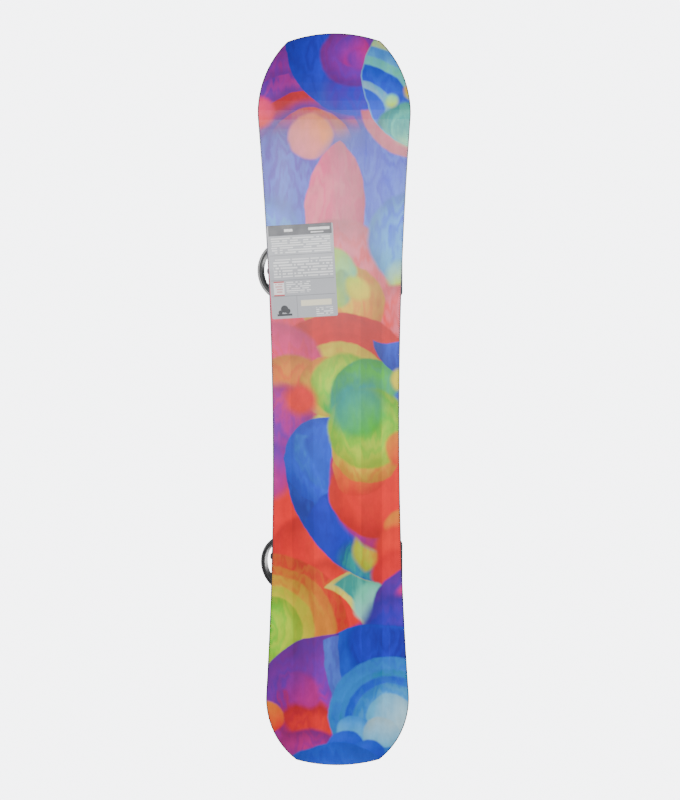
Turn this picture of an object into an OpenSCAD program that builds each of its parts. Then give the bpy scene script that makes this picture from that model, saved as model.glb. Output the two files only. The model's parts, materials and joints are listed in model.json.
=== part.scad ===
// Snowboard with a pair of strap bindings, in millimetres.
// X runs from tail to nose, Y from the heel side to the toe side, and Z up from the running base at Z = 0.
// Each binding is drawn in its own frame: origin on the topsheet at the centre of its disc, +X to the outer
// side of the foot, +Y to the toes. The rear binding is the front one mirrored.

/* [Board] */
// Length from tip to tail
board_l = 1440; // [1400:5:1500]
// Width at the waist
waist_w = 243; // [238:1:250]
// Width at the widest point of the nose
nose_w = 287; // [283:1:292]
// Width at the widest point of the tail
tail_w = 281; // [277:1:288]
// Length of the blunt end, from the tip to the widest point
tip_l = 158; // [150:1:170]
// Thickness of the wood core between the feet
core_t_mid = 4.7; // [4.2:0.1:6]
// Thickness of the core where it ends
core_t_tip = 1.9; // [1.5:0.1:2.4]
// Radius of the upturned nose and tail
kick_r = 360; // [340:10:420]
// Width of the steel edge seen on the base
edge_w = 2; // [1.8:0.1:2.4]
// Width of the sidewalls
sidewall_w = 7; // [5:0.5:8]

/* [Stance] */
// Distance between the centres of the two discs
stance = 576; // [560:4:580]
// Distance of the stance centre behind the board centre
setback = 16; // [10:2:20]

/* [Bindings] */
// Inner width of the chassis
boot_w = 96; // [94:1:98]
// Wall thickness of the chassis rails
rail_t = 5.5; // [5:0.1:6]
// Tilt of the heel hoop, and forward lean of the highback
hoop_tilt = 22; // [18:1:24]
// Height of the heel hoop band
hoop_h = 17; // [15:1:18]
// Forward tilt of the ankle strap
ankle_tilt = 32; // [28:1:34]
// Forward tilt of the toe strap
toe_tilt = 22; // [18:1:26]

/* [Hidden] */
$fn = 96;

// ---- Board layup ----
base_t = 1.2;
glass_t = 0.6;
sheet_t = 0.5;
below_core = base_t + glass_t;
board_t = below_core + core_t_mid + glass_t + sheet_t;
core_end = 655;         // the wood core stops here and a plastic spacer fills the tip
taper_from = 420;       // the core starts to thin here
taper_to = 640;
kick_s = board_l / 2 - 185;
side_inset = 0.6;       // each layer above the sidewall steps in by this much

// ---- Board outline: arcs that meet tangentially ----
tip_r = 236;
corner_r = 12;
flank_r = 207;
blend_r = 150;
end_x = board_l / 2 - tip_l;
nose_in = (nose_w - waist_w) / 2;
tail_in = (tail_w - waist_w) / 2;
waist_k = sqrt(nose_in / tail_in);
waist_x = -end_x * (waist_k - 1) / (waist_k + 1);
sidecut_r = (pow(end_x - waist_x, 2) + nose_in * nose_in) / (2 * nose_in);

function arc(c, r, a0, a1, n) =
    [for (k = [0:n - 1]) c + r * [cos(a0 + (a1 - a0) * k / n), sin(a0 + (a1 - a0) * k / n)]];
function bearing(a, b) = atan2(b.y - a.y, b.x - a.x);
function backwards(list) = [for (k = [len(list) - 1:-1:0]) list[k]];
// The point at distance r1 from c1 and r2 from c2, on the left of the line from c1 to c2 if side is 1.
function meet(c1, r1, c2, r2, side) =
    let (d = norm(c2 - c1), e = (c2 - c1) / d, a = (r1 * r1 - r2 * r2 + d * d) / (2 * d))
    c1 + a * e + side * sqrt(r1 * r1 - a * a) * [-e.y, e.x];

tip_c = [board_l / 2 - tip_r, 0];
function flank_c(half_w) = [end_x, half_w - flank_r];
function side_c(x) = [x, waist_w / 2 + sidecut_r];
function corner_c(half_w) = meet(tip_c, tip_r - corner_r, flank_c(half_w), flank_r - corner_r, 1);
function blend_c(half_w, x) = meet(flank_c(half_w), flank_r - blend_r, side_c(x), sidecut_r + blend_r, -1);

// One end's edge on the +Y side, from the tip to where the sidecut starts, for an end that points to +X.
function end_edge(half_w, x, inset) =
    let (f = flank_c(half_w), c = corner_c(half_w), b = blend_c(half_w, x))
    concat(arc(tip_c, tip_r - inset, 0, bearing(tip_c, c), 8),
           arc(c, corner_r - inset, bearing(tip_c, c), bearing(f, c), 5),
           arc(f, flank_r - inset, bearing(f, c), bearing(f, b), 14),
           arc(b, blend_r - inset, bearing(f, b), bearing(b, side_c(x)), 3));

function toe_edge(inset) =
    let (nose_b = blend_c(nose_w / 2, waist_x), tail_b = blend_c(tail_w / 2, -waist_x), s = side_c(waist_x),
         a0 = bearing(s, nose_b), a1 = bearing(s, [-tail_b.x, tail_b.y]))
    concat(end_edge(nose_w / 2, waist_x, inset),
           arc(s, sidecut_r + inset, a0, a1, 26),
           [s + (sidecut_r + inset) * [cos(a1), sin(a1)]],
           [for (p = backwards(end_edge(tail_w / 2, -waist_x, inset))) [-p.x, p.y]]);

function outline(inset) =
    let (toe = toe_edge(inset), n = len(toe))
    concat(toe, [for (k = [n - 2:-1:1]) [toe[k].x, -toe[k].y]]);

// ---- Board side profile: flat, with a kick of radius kick_r at each end ----
kick_a = asin((board_l / 2 + 14 - kick_s) / kick_r);
kick_n = 12;
kicks = [for (k = [0:kick_n]) kick_s + kick_r * kick_a * PI / 180 * k / kick_n];
stations = concat([for (s = backwards(kicks)) -s], [-taper_from, taper_from], kicks);
function core_t(s) = lookup(abs(s), [[taper_from, core_t_mid], [taper_to, core_t_tip]]);
function curve_a(s) = abs(s) <= kick_s ? 0 : sign(s) * (abs(s) - kick_s) / kick_r * 180 / PI;
// A point of the profile: station s along the base, height h above it and cores times the core's thickness.
function profile(s, h, cores) =
    let (a = curve_a(s), up = h + cores * core_t(s),
         x = abs(s) <= kick_s ? s : sign(s) * kick_s + kick_r * sin(a))
    [x - up * sin(a), kick_r * (1 - cos(a)) + up * cos(a)];

// A layer of the board between two heights, trimmed to the outline.
module layer(h0, h1, cores0, cores1, inset) {
    intersection() {
        rotate([90, 0, 0]) linear_extrude(320, center = true)
            polygon(concat([for (s = stations) profile(s, h0, cores0)],
                           [for (s = backwards(stations)) profile(s, h1, cores1)]));
        plan(inset);
    }
}
module plan(inset) {
    translate([0, 0, -5]) linear_extrude(90) polygon(outline(inset));
}
module between(x) {
    translate([-x, -200, -10]) cube([2 * x, 400, 100]);
}

// ---- Inserts: two rows of six for each foot, with the disc on the outermost four ----
insert_pitch = 20;
insert_rows = 40;
insert_r = 4.8;
insert_flange_r = 7;
thread_r = 3.02;
foot_x = [stance / 2 - setback, -stance / 2 - setback];
module at_inserts() {
    for (foot = [0, 1], k = [0:5], row = [-1, 1])
        translate([foot_x[foot] + (foot == 0 ? 1 : -1) * insert_pitch * (1 - k), row * insert_rows / 2, 0])
            children();
}
module insert_body() {
    translate([0, 0, below_core]) cylinder(r = insert_flange_r, h = 1);
    translate([0, 0, below_core]) cylinder(r = insert_r, h = board_t - below_core);
}

module base_sheet() color("mediumpurple") layer(0, base_t, 0, 0, edge_w);
module steel_edges() color("dimgray") difference() {
    layer(0, below_core, 0, 0, 0);
    plan(edge_w);
}
module lower_laminate() color("wheat") layer(base_t, below_core, 0, 0, edge_w);
module wood_core() color("burlywood") difference() {
    intersection() {
        layer(below_core, below_core, 0, 1, sidewall_w);
        between(core_end);
    }
    at_inserts() insert_body();
}
module sidewalls() color("black") difference() {
    intersection() {
        layer(below_core, below_core, 0, 1, 0);
        between(core_end);
    }
    plan(sidewall_w);
}
module tip_spacers() color("black") difference() {
    layer(below_core, below_core, 0, 1, 0);
    between(core_end);
}
module upper_laminate() color("wheat") difference() {
    layer(below_core, below_core + glass_t, 1, 1, side_inset);
    at_inserts() insert_body();
}
module topsheet() color("slateblue") difference() {
    layer(below_core + glass_t, below_core + glass_t + sheet_t, 1, 1, 2 * side_inset);
    at_inserts() insert_body();
}
module threaded_inserts() color("silver") at_inserts() difference() {
    insert_body();
    translate([0, 0, below_core + 0.6]) cylinder(r = thread_r, h = board_t);
}

// ---- Binding: chassis ----
floor_z = 0.3;          // running clearance over the topsheet, because the chassis turns on its disc
floor_t = 9;            // height of the chassis floor
rail_in = boot_w / 2;
rail_out = rail_in + rail_t;
disc_r = 41.7;
disc_flange_r = 47.2;
disc_step = 4.2;
disc_h = 8.6;
heel_y = -112;
toe_y = 84;
tongue_y = 96;
tongue_t = 4.5;
ramp_seat_y = 62;
ramp_bolt_y = 84;
ankle_bolt = [-30, 38]; // y and z of the ankle strap's bolts
toe_bolt = [60, 24];
bolt_r = 3;
bolt_gap = 0.04;

module place(side) {
    translate([foot_x[side == "front_" ? 0 : 1], 0, board_t])
        mirror([side == "front_" ? 0 : 1, 0, 0]) children();
}
// A cylinder along X between two values of x, at height z and fore-aft place y.
module cross_bar(r, x0, x1, y = 0, z = 0) {
    translate([x0, y, z]) rotate([0, 90, 0]) cylinder(r = r, h = x1 - x0);
}
module both_sides() {
    children();
    mirror([1, 0, 0]) children();
}
module rounded(w, l, r) {
    square([w - 2 * r, l], center = true);
    square([w, l - 2 * r], center = true);
    for (sx = [-1, 1], sy = [-1, 1]) translate([sx * (w / 2 - r), sy * (l / 2 - r)]) circle(r);
}
module slot(l, w) {
    square([w, l - w], center = true);
    for (s = [-1, 1]) translate([0, s * (l - w) / 2]) circle(w / 2);
}
// Extrudes a shape drawn in Y and Z between two values of x.
module side_view(x0, x1) {
    translate([x0, 0, 0]) rotate([90, 0, 90]) linear_extrude(x1 - x0) children();
}

module mounting_disc() color("dimgray") difference() {
    union() {
        cylinder(r = disc_r, h = disc_step + 0.1);
        translate([0, 0, disc_step]) cylinder(r = disc_flange_r, h = disc_h - disc_step);
    }
    for (sx = [-1, 1], sy = [-1, 1]) translate([sx, sy, 0] * insert_pitch) {
        translate([0, 0, -1]) linear_extrude(12) slot(14, 6.6);
        translate([0, 0, 5.5]) linear_extrude(12) slot(20, 12.6);
    }
}
module disc_screws() color("silver")
    for (sx = [-1, 1], sy = [-1, 1]) translate([sx, sy, 0] * insert_pitch) difference() {
        union() {
            translate([0, 0, -4.5]) cylinder(r = bolt_r, h = 11);
            translate([0, 0, 5.5]) cylinder(r = 6, h = 0.8);
            translate([0, 0, 6.2]) cylinder(r = 5, h = 2.8);
        }
        translate([0, 0, 9]) {
            cube([6, 1.4, 3], center = true);
            cube([1.4, 6, 3], center = true);
        }
    }

module rail_shape() {
    polygon([[heel_y, floor_z], [heel_y, 15], [-104, 23], [-84, 25], [-70, 35], [-58, 44], [-42, 46],
             [-24, 46], [-6, 26], [12, 20], [40, 18], [50, 26], [70, 30], [toe_y - 4, 20], [toe_y, 12],
             [toe_y, floor_z]]);
    translate(ankle_bolt) circle(12.5);
    translate(toe_bolt) circle(11);
}
module baseplate() color("black") difference() {
    union() {
        translate([0, (heel_y + ramp_seat_y) / 2, floor_z]) linear_extrude(floor_t - floor_z)
            rounded(2 * rail_out, ramp_seat_y - heel_y, 6);
        translate([0, (ramp_seat_y + tongue_y) / 2 - 5, floor_z]) linear_extrude(tongue_t - floor_z)
            rounded(70, tongue_y - ramp_seat_y + 10, 6);
        both_sides() side_view(rail_in, rail_out) rail_shape();
    }
    cylinder(r = disc_r + 0.05, h = 30, center = true);
    translate([0, 0, disc_step - 0.05]) cylinder(r = disc_flange_r + 0.2, h = 12);
    // open heel: the sole's edge hangs into the hoop
    translate([0, heel_y - 20, -1]) cylinder(r = 34, h = 20);
    both_sides() {
        for (b = [ankle_bolt, toe_bolt]) cross_bar(bolt_r, rail_in - 1, rail_out + 1, b.x, b.y);
        for (v = hoop_bolts) hoop_frame() cross_bar(hoop_bolt_r, rail_in - 1, rail_out + 1, v);
        side_view(rail_in - 1, rail_out + 1) for (y = [-8, 26]) translate([y, 12.5]) rotate(90) slot(20, 5);
    }
    translate([0, ramp_bolt_y, -1]) cylinder(r = bolt_r, h = 12);
}
module heel_pad() color("gray") translate([0, 0, floor_t + 0.02]) linear_extrude(4) difference() {
    translate([0, -80]) rounded(2 * rail_in - 4, 62, 10);
    translate([0, heel_y - 20]) circle(r = 36);
}

// ---- Binding: toe ramp, which slides on the chassis tongue ----
ramp_y = 129;
module toe_ramp() color("dimgray") difference() {
    intersection() {
        side_view(-60, 60) polygon([[70, 4.8], [70, 11], [96, 12], [114, 15.5], [ramp_y, 21], [ramp_y, 16],
                                    [120, 6], [112, 1], [105, 1], [104, 4.8]]);
        union() {
            translate([0, 90, 0]) linear_extrude(30) rounded(2 * rail_in - 3, 50, 6);
            translate([0, (93 + ramp_y) / 2, 0]) linear_extrude(30) rounded(2 * rail_out, ramp_y - 93, 12);
        }
    }
    translate([0, ramp_bolt_y, 0]) linear_extrude(30) slot(22, 6.6);
    for (sx = [-1, 1]) translate([sx * 26, 92, 0]) linear_extrude(30) slot(30, 9);
}

// ---- Binding: heel hoop, in a frame tilted up to the heel with its origin on the highback's pivots ----
hoop_c = [-94, 42];
hoop_in = rail_out + 0.5;
hoop_out = hoop_in + 4.5;
hoop_bolts = [35, 53];
hoop_bolt_r = 2.5;
hoop_arm = 53;
module hoop_frame() {
    translate([0, hoop_c.x, hoop_c.y]) rotate([-hoop_tilt, 0, 0]) children();
}
module hoop_plan(r) {
    circle(r);
    translate([-r, 0]) square([2 * r, hoop_arm]);
}
module heel_hoop() color("#1c1c1e") hoop_frame() difference() {
    union() {
        translate([0, 0, -hoop_h / 2]) linear_extrude(hoop_h) difference() {
            hoop_plan(hoop_out);
            hoop_plan(hoop_in);
            translate([-100, hoop_arm]) square([200, 20]);
        }
        both_sides() {
            cross_bar(hoop_h / 2, hoop_in, hoop_out, hoop_arm);
            cross_bar(12, hoop_in, hoop_out);
        }
    }
    both_sides() {
        cross_bar(bolt_r + bolt_gap, hoop_in - 1, hoop_out + 1);
        for (v = hoop_bolts) cross_bar(hoop_bolt_r, hoop_in - 1, hoop_out + 1, v);
    }
}
// A bolt along X with a head outside and a low nut inside. The core is one solid.
module bolt(r, head_r, inside, outside, y, z) {
    cross_bar(r, inside, outside + 0.5, y, z);
    cross_bar(head_r, outside, outside + 2.4, y, z);
    cross_bar(head_r, inside - 1.2, inside, y, z);
}
module chassis_bolts() color("silver") {
    hoop_frame() both_sides() for (v = hoop_bolts) bolt(hoop_bolt_r, 4.6, rail_in, hoop_out, v, 0);
    translate([0, ramp_bolt_y, 0]) {
        translate([0, 0, floor_z]) cylinder(r = bolt_r, h = 13);
        translate([0, 0, 12.2]) cylinder(r = 6.5, h = 2.4);
    }
    hoop_frame() both_sides() bolt(bolt_r, 6.5, wrap_in - 0.6, hoop_out, 0, 0);
}

// ---- Binding: highback, in the hoop's frame ----
wrap_out = hoop_in - 0.8;
wrap_t = 3.2;
wrap_in = wrap_out - wrap_t;
wrap_low = -8;
back_top = 190;
flare_from = 62;
window = [58, 30];
function flare(w) = wrap_out + 7 * pow(max(0, w - flare_from) / (back_top - flare_from), 1.3);
function spread(w) = lookup(w, [[12, 89], [40, 72], [110, 62], [back_top, 50]]);
// Points over a band of the shell: s runs across from -1 to 1 and t up from 0 to 1.
function shell_point(s, t, low, high, share, depth) =
    let (top = high - 0.19 * (high - low) * pow(abs(s), 4),
         w = low + t * (top - low),
         a = s * share * spread(w),
         r = flare(w) - depth)
    [r * sin(a), -r * cos(a), w];
module shell(low, high, share, outer, inner, nx, nz) {
    stride = nx + 1;
    count = stride * (nz + 1);
    points = [for (d = [outer, inner], j = [0:nz], i = [0:nx])
        shell_point(2 * i / nx - 1, j / nz, low, high, share, d)];
    function at(i, j, k) = k * count + j * stride + i;
    faces = concat(
        [for (j = [0:nz - 1], i = [0:nx - 1]) each [
            [at(i, j, 0), at(i, j + 1, 0), at(i + 1, j + 1, 0)],
            [at(i, j, 0), at(i + 1, j + 1, 0), at(i + 1, j, 0)],
            [at(i, j, 1), at(i + 1, j + 1, 1), at(i, j + 1, 1)],
            [at(i, j, 1), at(i + 1, j, 1), at(i + 1, j + 1, 1)]]],
        [for (i = [0:nx - 1]) each [
            [at(i, 0, 0), at(i + 1, 0, 0), at(i + 1, 0, 1)],
            [at(i, 0, 0), at(i + 1, 0, 1), at(i, 0, 1)],
            [at(i, nz, 0), at(i + 1, nz, 1), at(i + 1, nz, 0)],
            [at(i, nz, 0), at(i, nz, 1), at(i + 1, nz, 1)]]],
        [for (j = [0:nz - 1]) each [
            [at(0, j, 0), at(0, j, 1), at(0, j + 1, 1)],
            [at(0, j, 0), at(0, j + 1, 1), at(0, j + 1, 0)],
            [at(nx, j, 0), at(nx, j + 1, 1), at(nx, j, 1)],
            [at(nx, j, 0), at(nx, j + 1, 0), at(nx, j + 1, 1)]]]);
    polyhedron(points, faces);
}
module through_back(x, w) {
    translate([x, -30, w]) rotate([90, 0, 0]) linear_extrude(50) children();
}
module highback() color("#242426") hoop_frame() difference() {
    union() {
        shell(wrap_low, back_top, 1, 0, wrap_t, 22, 18);
        both_sides() cross_bar(8, wrap_in, wrap_out);
    }
    both_sides() cross_bar(bolt_r + bolt_gap, wrap_in - 5, wrap_out + 5);
    through_back(0, 21) rounded(window.x, window.y, 9);
    for (sx = [-1, 1]) through_back(sx * 20, 128) rotate(sx * 8) slot(58, 11);
}
module highback_pad() color("gray") hoop_frame() shell(50, 176, 0.62, wrap_t + 0.05, wrap_t + 6, 14, 10);

// The forward-lean yoke straddles the window and stands on the hoop's rim.
yoke_in = wrap_out + 0.4;
yoke_t = 3.2;
yoke_low = hoop_h / 2 + 0.3;
yoke_top = 50;
module lean_yoke() color("dimgray") hoop_frame() difference() {
    union() {
        translate([0, 0, yoke_low]) rotate([0, 0, 270 - 46]) rotate_extrude(angle = 92)
            translate([yoke_in, 0]) square([yoke_t, yoke_top - yoke_low]);
        translate([0, -yoke_in - 1, 43]) rotate([90, 0, 0]) cylinder(r = 6, h = 5);
    }
    through_back(0, 10) rounded(62, 54, 9);
}

// ---- Binding: straps, in a frame whose origin is on the strap's two bolts and that tilts forward ----
// The arch is a half circle about a centre above the bolts. Angle 0 is the outer side, 180 the inner side.
ladder_in = rail_out + 2.1;
ladder_t = 2.5;
ladder_w = 20;
tongue_in = rail_out + 0.7;
tongue_t2 = 2.5;
pad_out = tongue_in - 0.2;
hinge_u = 14;
hinge_gap = 0.15;
// Each strap: name, place of its bolts, tilt, height of the arch's centre, width and thickness of the pad
ankle = ["ankle", ankle_bolt, ankle_tilt, 24, 64, 9];
toe = ["toe", toe_bolt, toe_tilt, 15, 46, 6];

module strap_frame(strap) {
    translate([0, strap[1].x, strap[1].y]) rotate([-strap[2], 0, 0]) children();
}
module arch(strap, r0, r1, a0, a1, w, mid = 0) {
    translate([0, mid, strap[3]]) rotate([90, 0, 0]) rotate([0, 0, a0]) rotate_extrude(angle = a1 - a0)
        translate([r0, -w / 2]) square([r1 - r0, w]);
}
function on_arch(strap, r, a) = [r * cos(a), strap[3] + r * sin(a)];
// A bar along the strap's width, at a place given by radius and angle on the arch.
module width_bar(strap, r, a, bar_r, w) {
    p = on_arch(strap, r, a);
    translate([p.x, 0, p.y]) rotate([90, 0, 0]) cylinder(r = bar_r, h = w, center = true, $fn = 48);
}
tooth_n = 26;
tooth_h = 0.9;
ladder_end = 80;
module ladder(strap) color("black") strap_frame(strap) difference() {
    union() {
        rotate([90, 0, 0]) linear_extrude(ladder_w, center = true) polygon(concat(
            [[ladder_in, 0], [ladder_in + ladder_t, 0]],
            [for (k = [0:tooth_n - 1]) each [
                on_arch(strap, ladder_in + ladder_t - tooth_h, ladder_end * k / tooth_n),
                on_arch(strap, ladder_in + ladder_t, ladder_end * (k + 0.7) / tooth_n)]],
            [for (k = [tooth_n:-1:0]) on_arch(strap, ladder_in, ladder_end * k / tooth_n)]));
        cross_bar(ladder_w / 2, ladder_in, ladder_in + ladder_t);
    }
    cross_bar(bolt_r + bolt_gap, ladder_in - 1, ladder_in + ladder_t + 1);
}
module anchor(strap) color("dimgray") strap_frame(strap) mirror([1, 0, 0]) difference() {
    union() {
        translate([tongue_in, -11, 0]) cube([tongue_t2, 22, hinge_u - hinge_gap]);
        cross_bar(11, tongue_in, tongue_in + tongue_t2);
    }
    cross_bar(bolt_r + bolt_gap, tongue_in - 1, tongue_in + tongue_t2 + 1);
}
module tongue(strap) color("dimgray") strap_frame(strap) {
    rotate([90, 0, 0]) linear_extrude(22, center = true) intersection() {
        difference() {
            tongue_side(strap, tongue_in + tongue_t2);
            tongue_side(strap, tongue_in);
        }
        polygon([[-100, hinge_u + hinge_gap], [0, hinge_u + hinge_gap], [0, strap[3]],
                 on_arch(strap, 200, 116), [-100, 200]]);
    }
}
module tongue_side(strap, r) {
    translate([0, strap[3]]) circle(r);
    translate([-r, 0]) square([r, strap[3]]);
}
// The padded part of a strap, wide over the foot and narrow at its ends.
module pad(strap) color("gray") strap_frame(strap) intersection() {
    arch(strap, pad_out - strap[5], pad_out, 28, 158, strap[4]);
    translate([0, 0, strap[3]]) linear_extrude(80) polygon([
        [-60, -14], [-44, -18], [-30, -strap[4] / 2], [24, -strap[4] / 2], [36, -20], [60, -16],
        [60, 16], [36, 20], [24, strap[4] / 2], [-30, strap[4] / 2], [-44, 18], [-60, 14]]);
}
buckle_a = [32, 78];
buckle_in = 12;
buckle_out = 14.4;
buckle_floor = 1.2;
buckle_top = 68;
lever_pin = [63.6, 71];     // radius and angle on the arch
release_pin = [61.1, 38];
pin_r = 1.5;
lever_in = 65.2;
module buckle(strap) color("#303033") strap_frame(strap) {
    difference() {
        union() {
            arch(strap, pad_out + 0.1, pad_out + 0.1 + buckle_floor, buckle_a[0], buckle_a[1], 2 * buckle_out);
            for (s = [-1, 1]) arch(strap, pad_out + 0.1, buckle_top, buckle_a[0], buckle_a[1],
                                   buckle_out - buckle_in, s * (buckle_in + buckle_out) / 2);
        }
        // the walls are cut down towards the lower end
        p = on_arch(strap, buckle_top + 22, 22);
        translate([p.x, 0, p.y]) rotate([90, 0, 0]) cylinder(r = 26.5, h = 40, center = true);
        for (pin = [lever_pin, release_pin]) width_bar(strap, pin.x, pin.y, pin_r, 40);
    }
    for (pin = [lever_pin, release_pin]) width_bar(strap, pin.x, pin.y, pin_r, 2 * buckle_out);
}
module lever(strap) color("#3a3a3d") strap_frame(strap) difference() {
    union() {
        arch(strap, lever_in, lever_in + 3, 30, lever_pin.y, 22);
        arch(strap, lever_in + 0.6, lever_in + 4.2, 28, 36, 23.4);
        width_bar(strap, lever_pin.x, lever_pin.y, 4, 22);
    }
    width_bar(strap, lever_pin.x, lever_pin.y, pin_r + bolt_gap, 40);
}
module release(strap) color("silver") strap_frame(strap) difference() {
    union() {
        arch(strap, 59.7, 61.9, 19, release_pin.y, 16);
        width_bar(strap, release_pin.x, release_pin.y, 2.5, 20);
    }
    width_bar(strap, release_pin.x, release_pin.y, pin_r + bolt_gap, 40);
}
// Two bolts for each strap. The outer one carries a bush, because the ladder lies further out.
module strap_bolts() color("silver") for (strap = [ankle, toe]) translate([0, strap[1].x, strap[1].y]) {
    bolt(bolt_r, 5.5, rail_in, ladder_in + ladder_t + 0.1, 0, 0);
    difference() {
        cross_bar(7, rail_out, ladder_in - 0.1);
        cross_bar(bolt_r, rail_out - 1, ladder_in + 1);
    }
    mirror([1, 0, 0]) bolt(bolt_r, 5.5, rail_in, tongue_in + tongue_t2 + 0.1, 0, 0);
}

base_sheet();
steel_edges();
lower_laminate();
wood_core();
sidewalls();
tip_spacers();
upper_laminate();
topsheet();
threaded_inserts();
for (side = ["front_", "rear_"]) {
    place(side) mounting_disc();
    place(side) disc_screws();
    place(side) baseplate();
    place(side) heel_pad();
    place(side) toe_ramp();
    place(side) chassis_bolts();
    place(side) heel_hoop();
    place(side) highback();
    place(side) highback_pad();
    place(side) lean_yoke();
    place(side) strap_bolts();
    place(side) ladder(ankle);
    place(side) anchor(ankle);
    place(side) tongue(ankle);
    place(side) pad(ankle);
    place(side) buckle(ankle);
    place(side) lever(ankle);
    place(side) release(ankle);
    place(side) ladder(toe);
    place(side) anchor(toe);
    place(side) tongue(toe);
    place(side) pad(toe);
    place(side) buckle(toe);
    place(side) lever(toe);
    place(side) release(toe);
}
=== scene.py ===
"""Snowboard with bindings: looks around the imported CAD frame.

In metres, with +X to the nose, +Y to the toe side and +Z up.
"""
import json
from math import copysign, cos, degrees, hypot, pi, radians, sin, sqrt

import bmesh
import bpy
import numpy as np
from mathutils import Matrix, Vector


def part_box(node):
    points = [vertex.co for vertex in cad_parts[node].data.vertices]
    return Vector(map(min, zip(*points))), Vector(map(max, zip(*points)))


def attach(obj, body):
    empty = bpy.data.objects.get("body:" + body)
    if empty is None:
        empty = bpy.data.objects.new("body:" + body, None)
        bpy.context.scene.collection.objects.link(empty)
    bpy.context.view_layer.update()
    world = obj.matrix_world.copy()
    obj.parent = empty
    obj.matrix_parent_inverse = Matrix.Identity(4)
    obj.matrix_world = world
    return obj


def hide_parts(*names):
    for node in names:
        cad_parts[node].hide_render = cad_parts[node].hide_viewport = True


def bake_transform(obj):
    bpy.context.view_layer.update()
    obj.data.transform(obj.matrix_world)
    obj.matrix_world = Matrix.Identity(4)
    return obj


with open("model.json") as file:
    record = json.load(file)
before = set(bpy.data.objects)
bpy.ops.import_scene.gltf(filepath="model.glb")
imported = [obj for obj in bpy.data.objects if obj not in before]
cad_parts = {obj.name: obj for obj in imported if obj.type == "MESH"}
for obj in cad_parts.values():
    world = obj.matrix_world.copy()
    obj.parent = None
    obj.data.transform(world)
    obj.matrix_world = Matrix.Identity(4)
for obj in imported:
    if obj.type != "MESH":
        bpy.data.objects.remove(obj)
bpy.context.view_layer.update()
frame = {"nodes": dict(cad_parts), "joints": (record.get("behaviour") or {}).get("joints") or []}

MM = 0.001


# ---- colour and node helpers

def rgb(code):
    """A screen colour such as "3a5fd0" as linear RGBA."""
    out = []
    for k in (0, 2, 4):
        c = int(code[k:k + 2], 16) / 255
        out.append(c / 12.92 if c <= 0.04045 else ((c + 0.055) / 1.055) ** 2.4)
    return (*out, 1.0)


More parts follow.
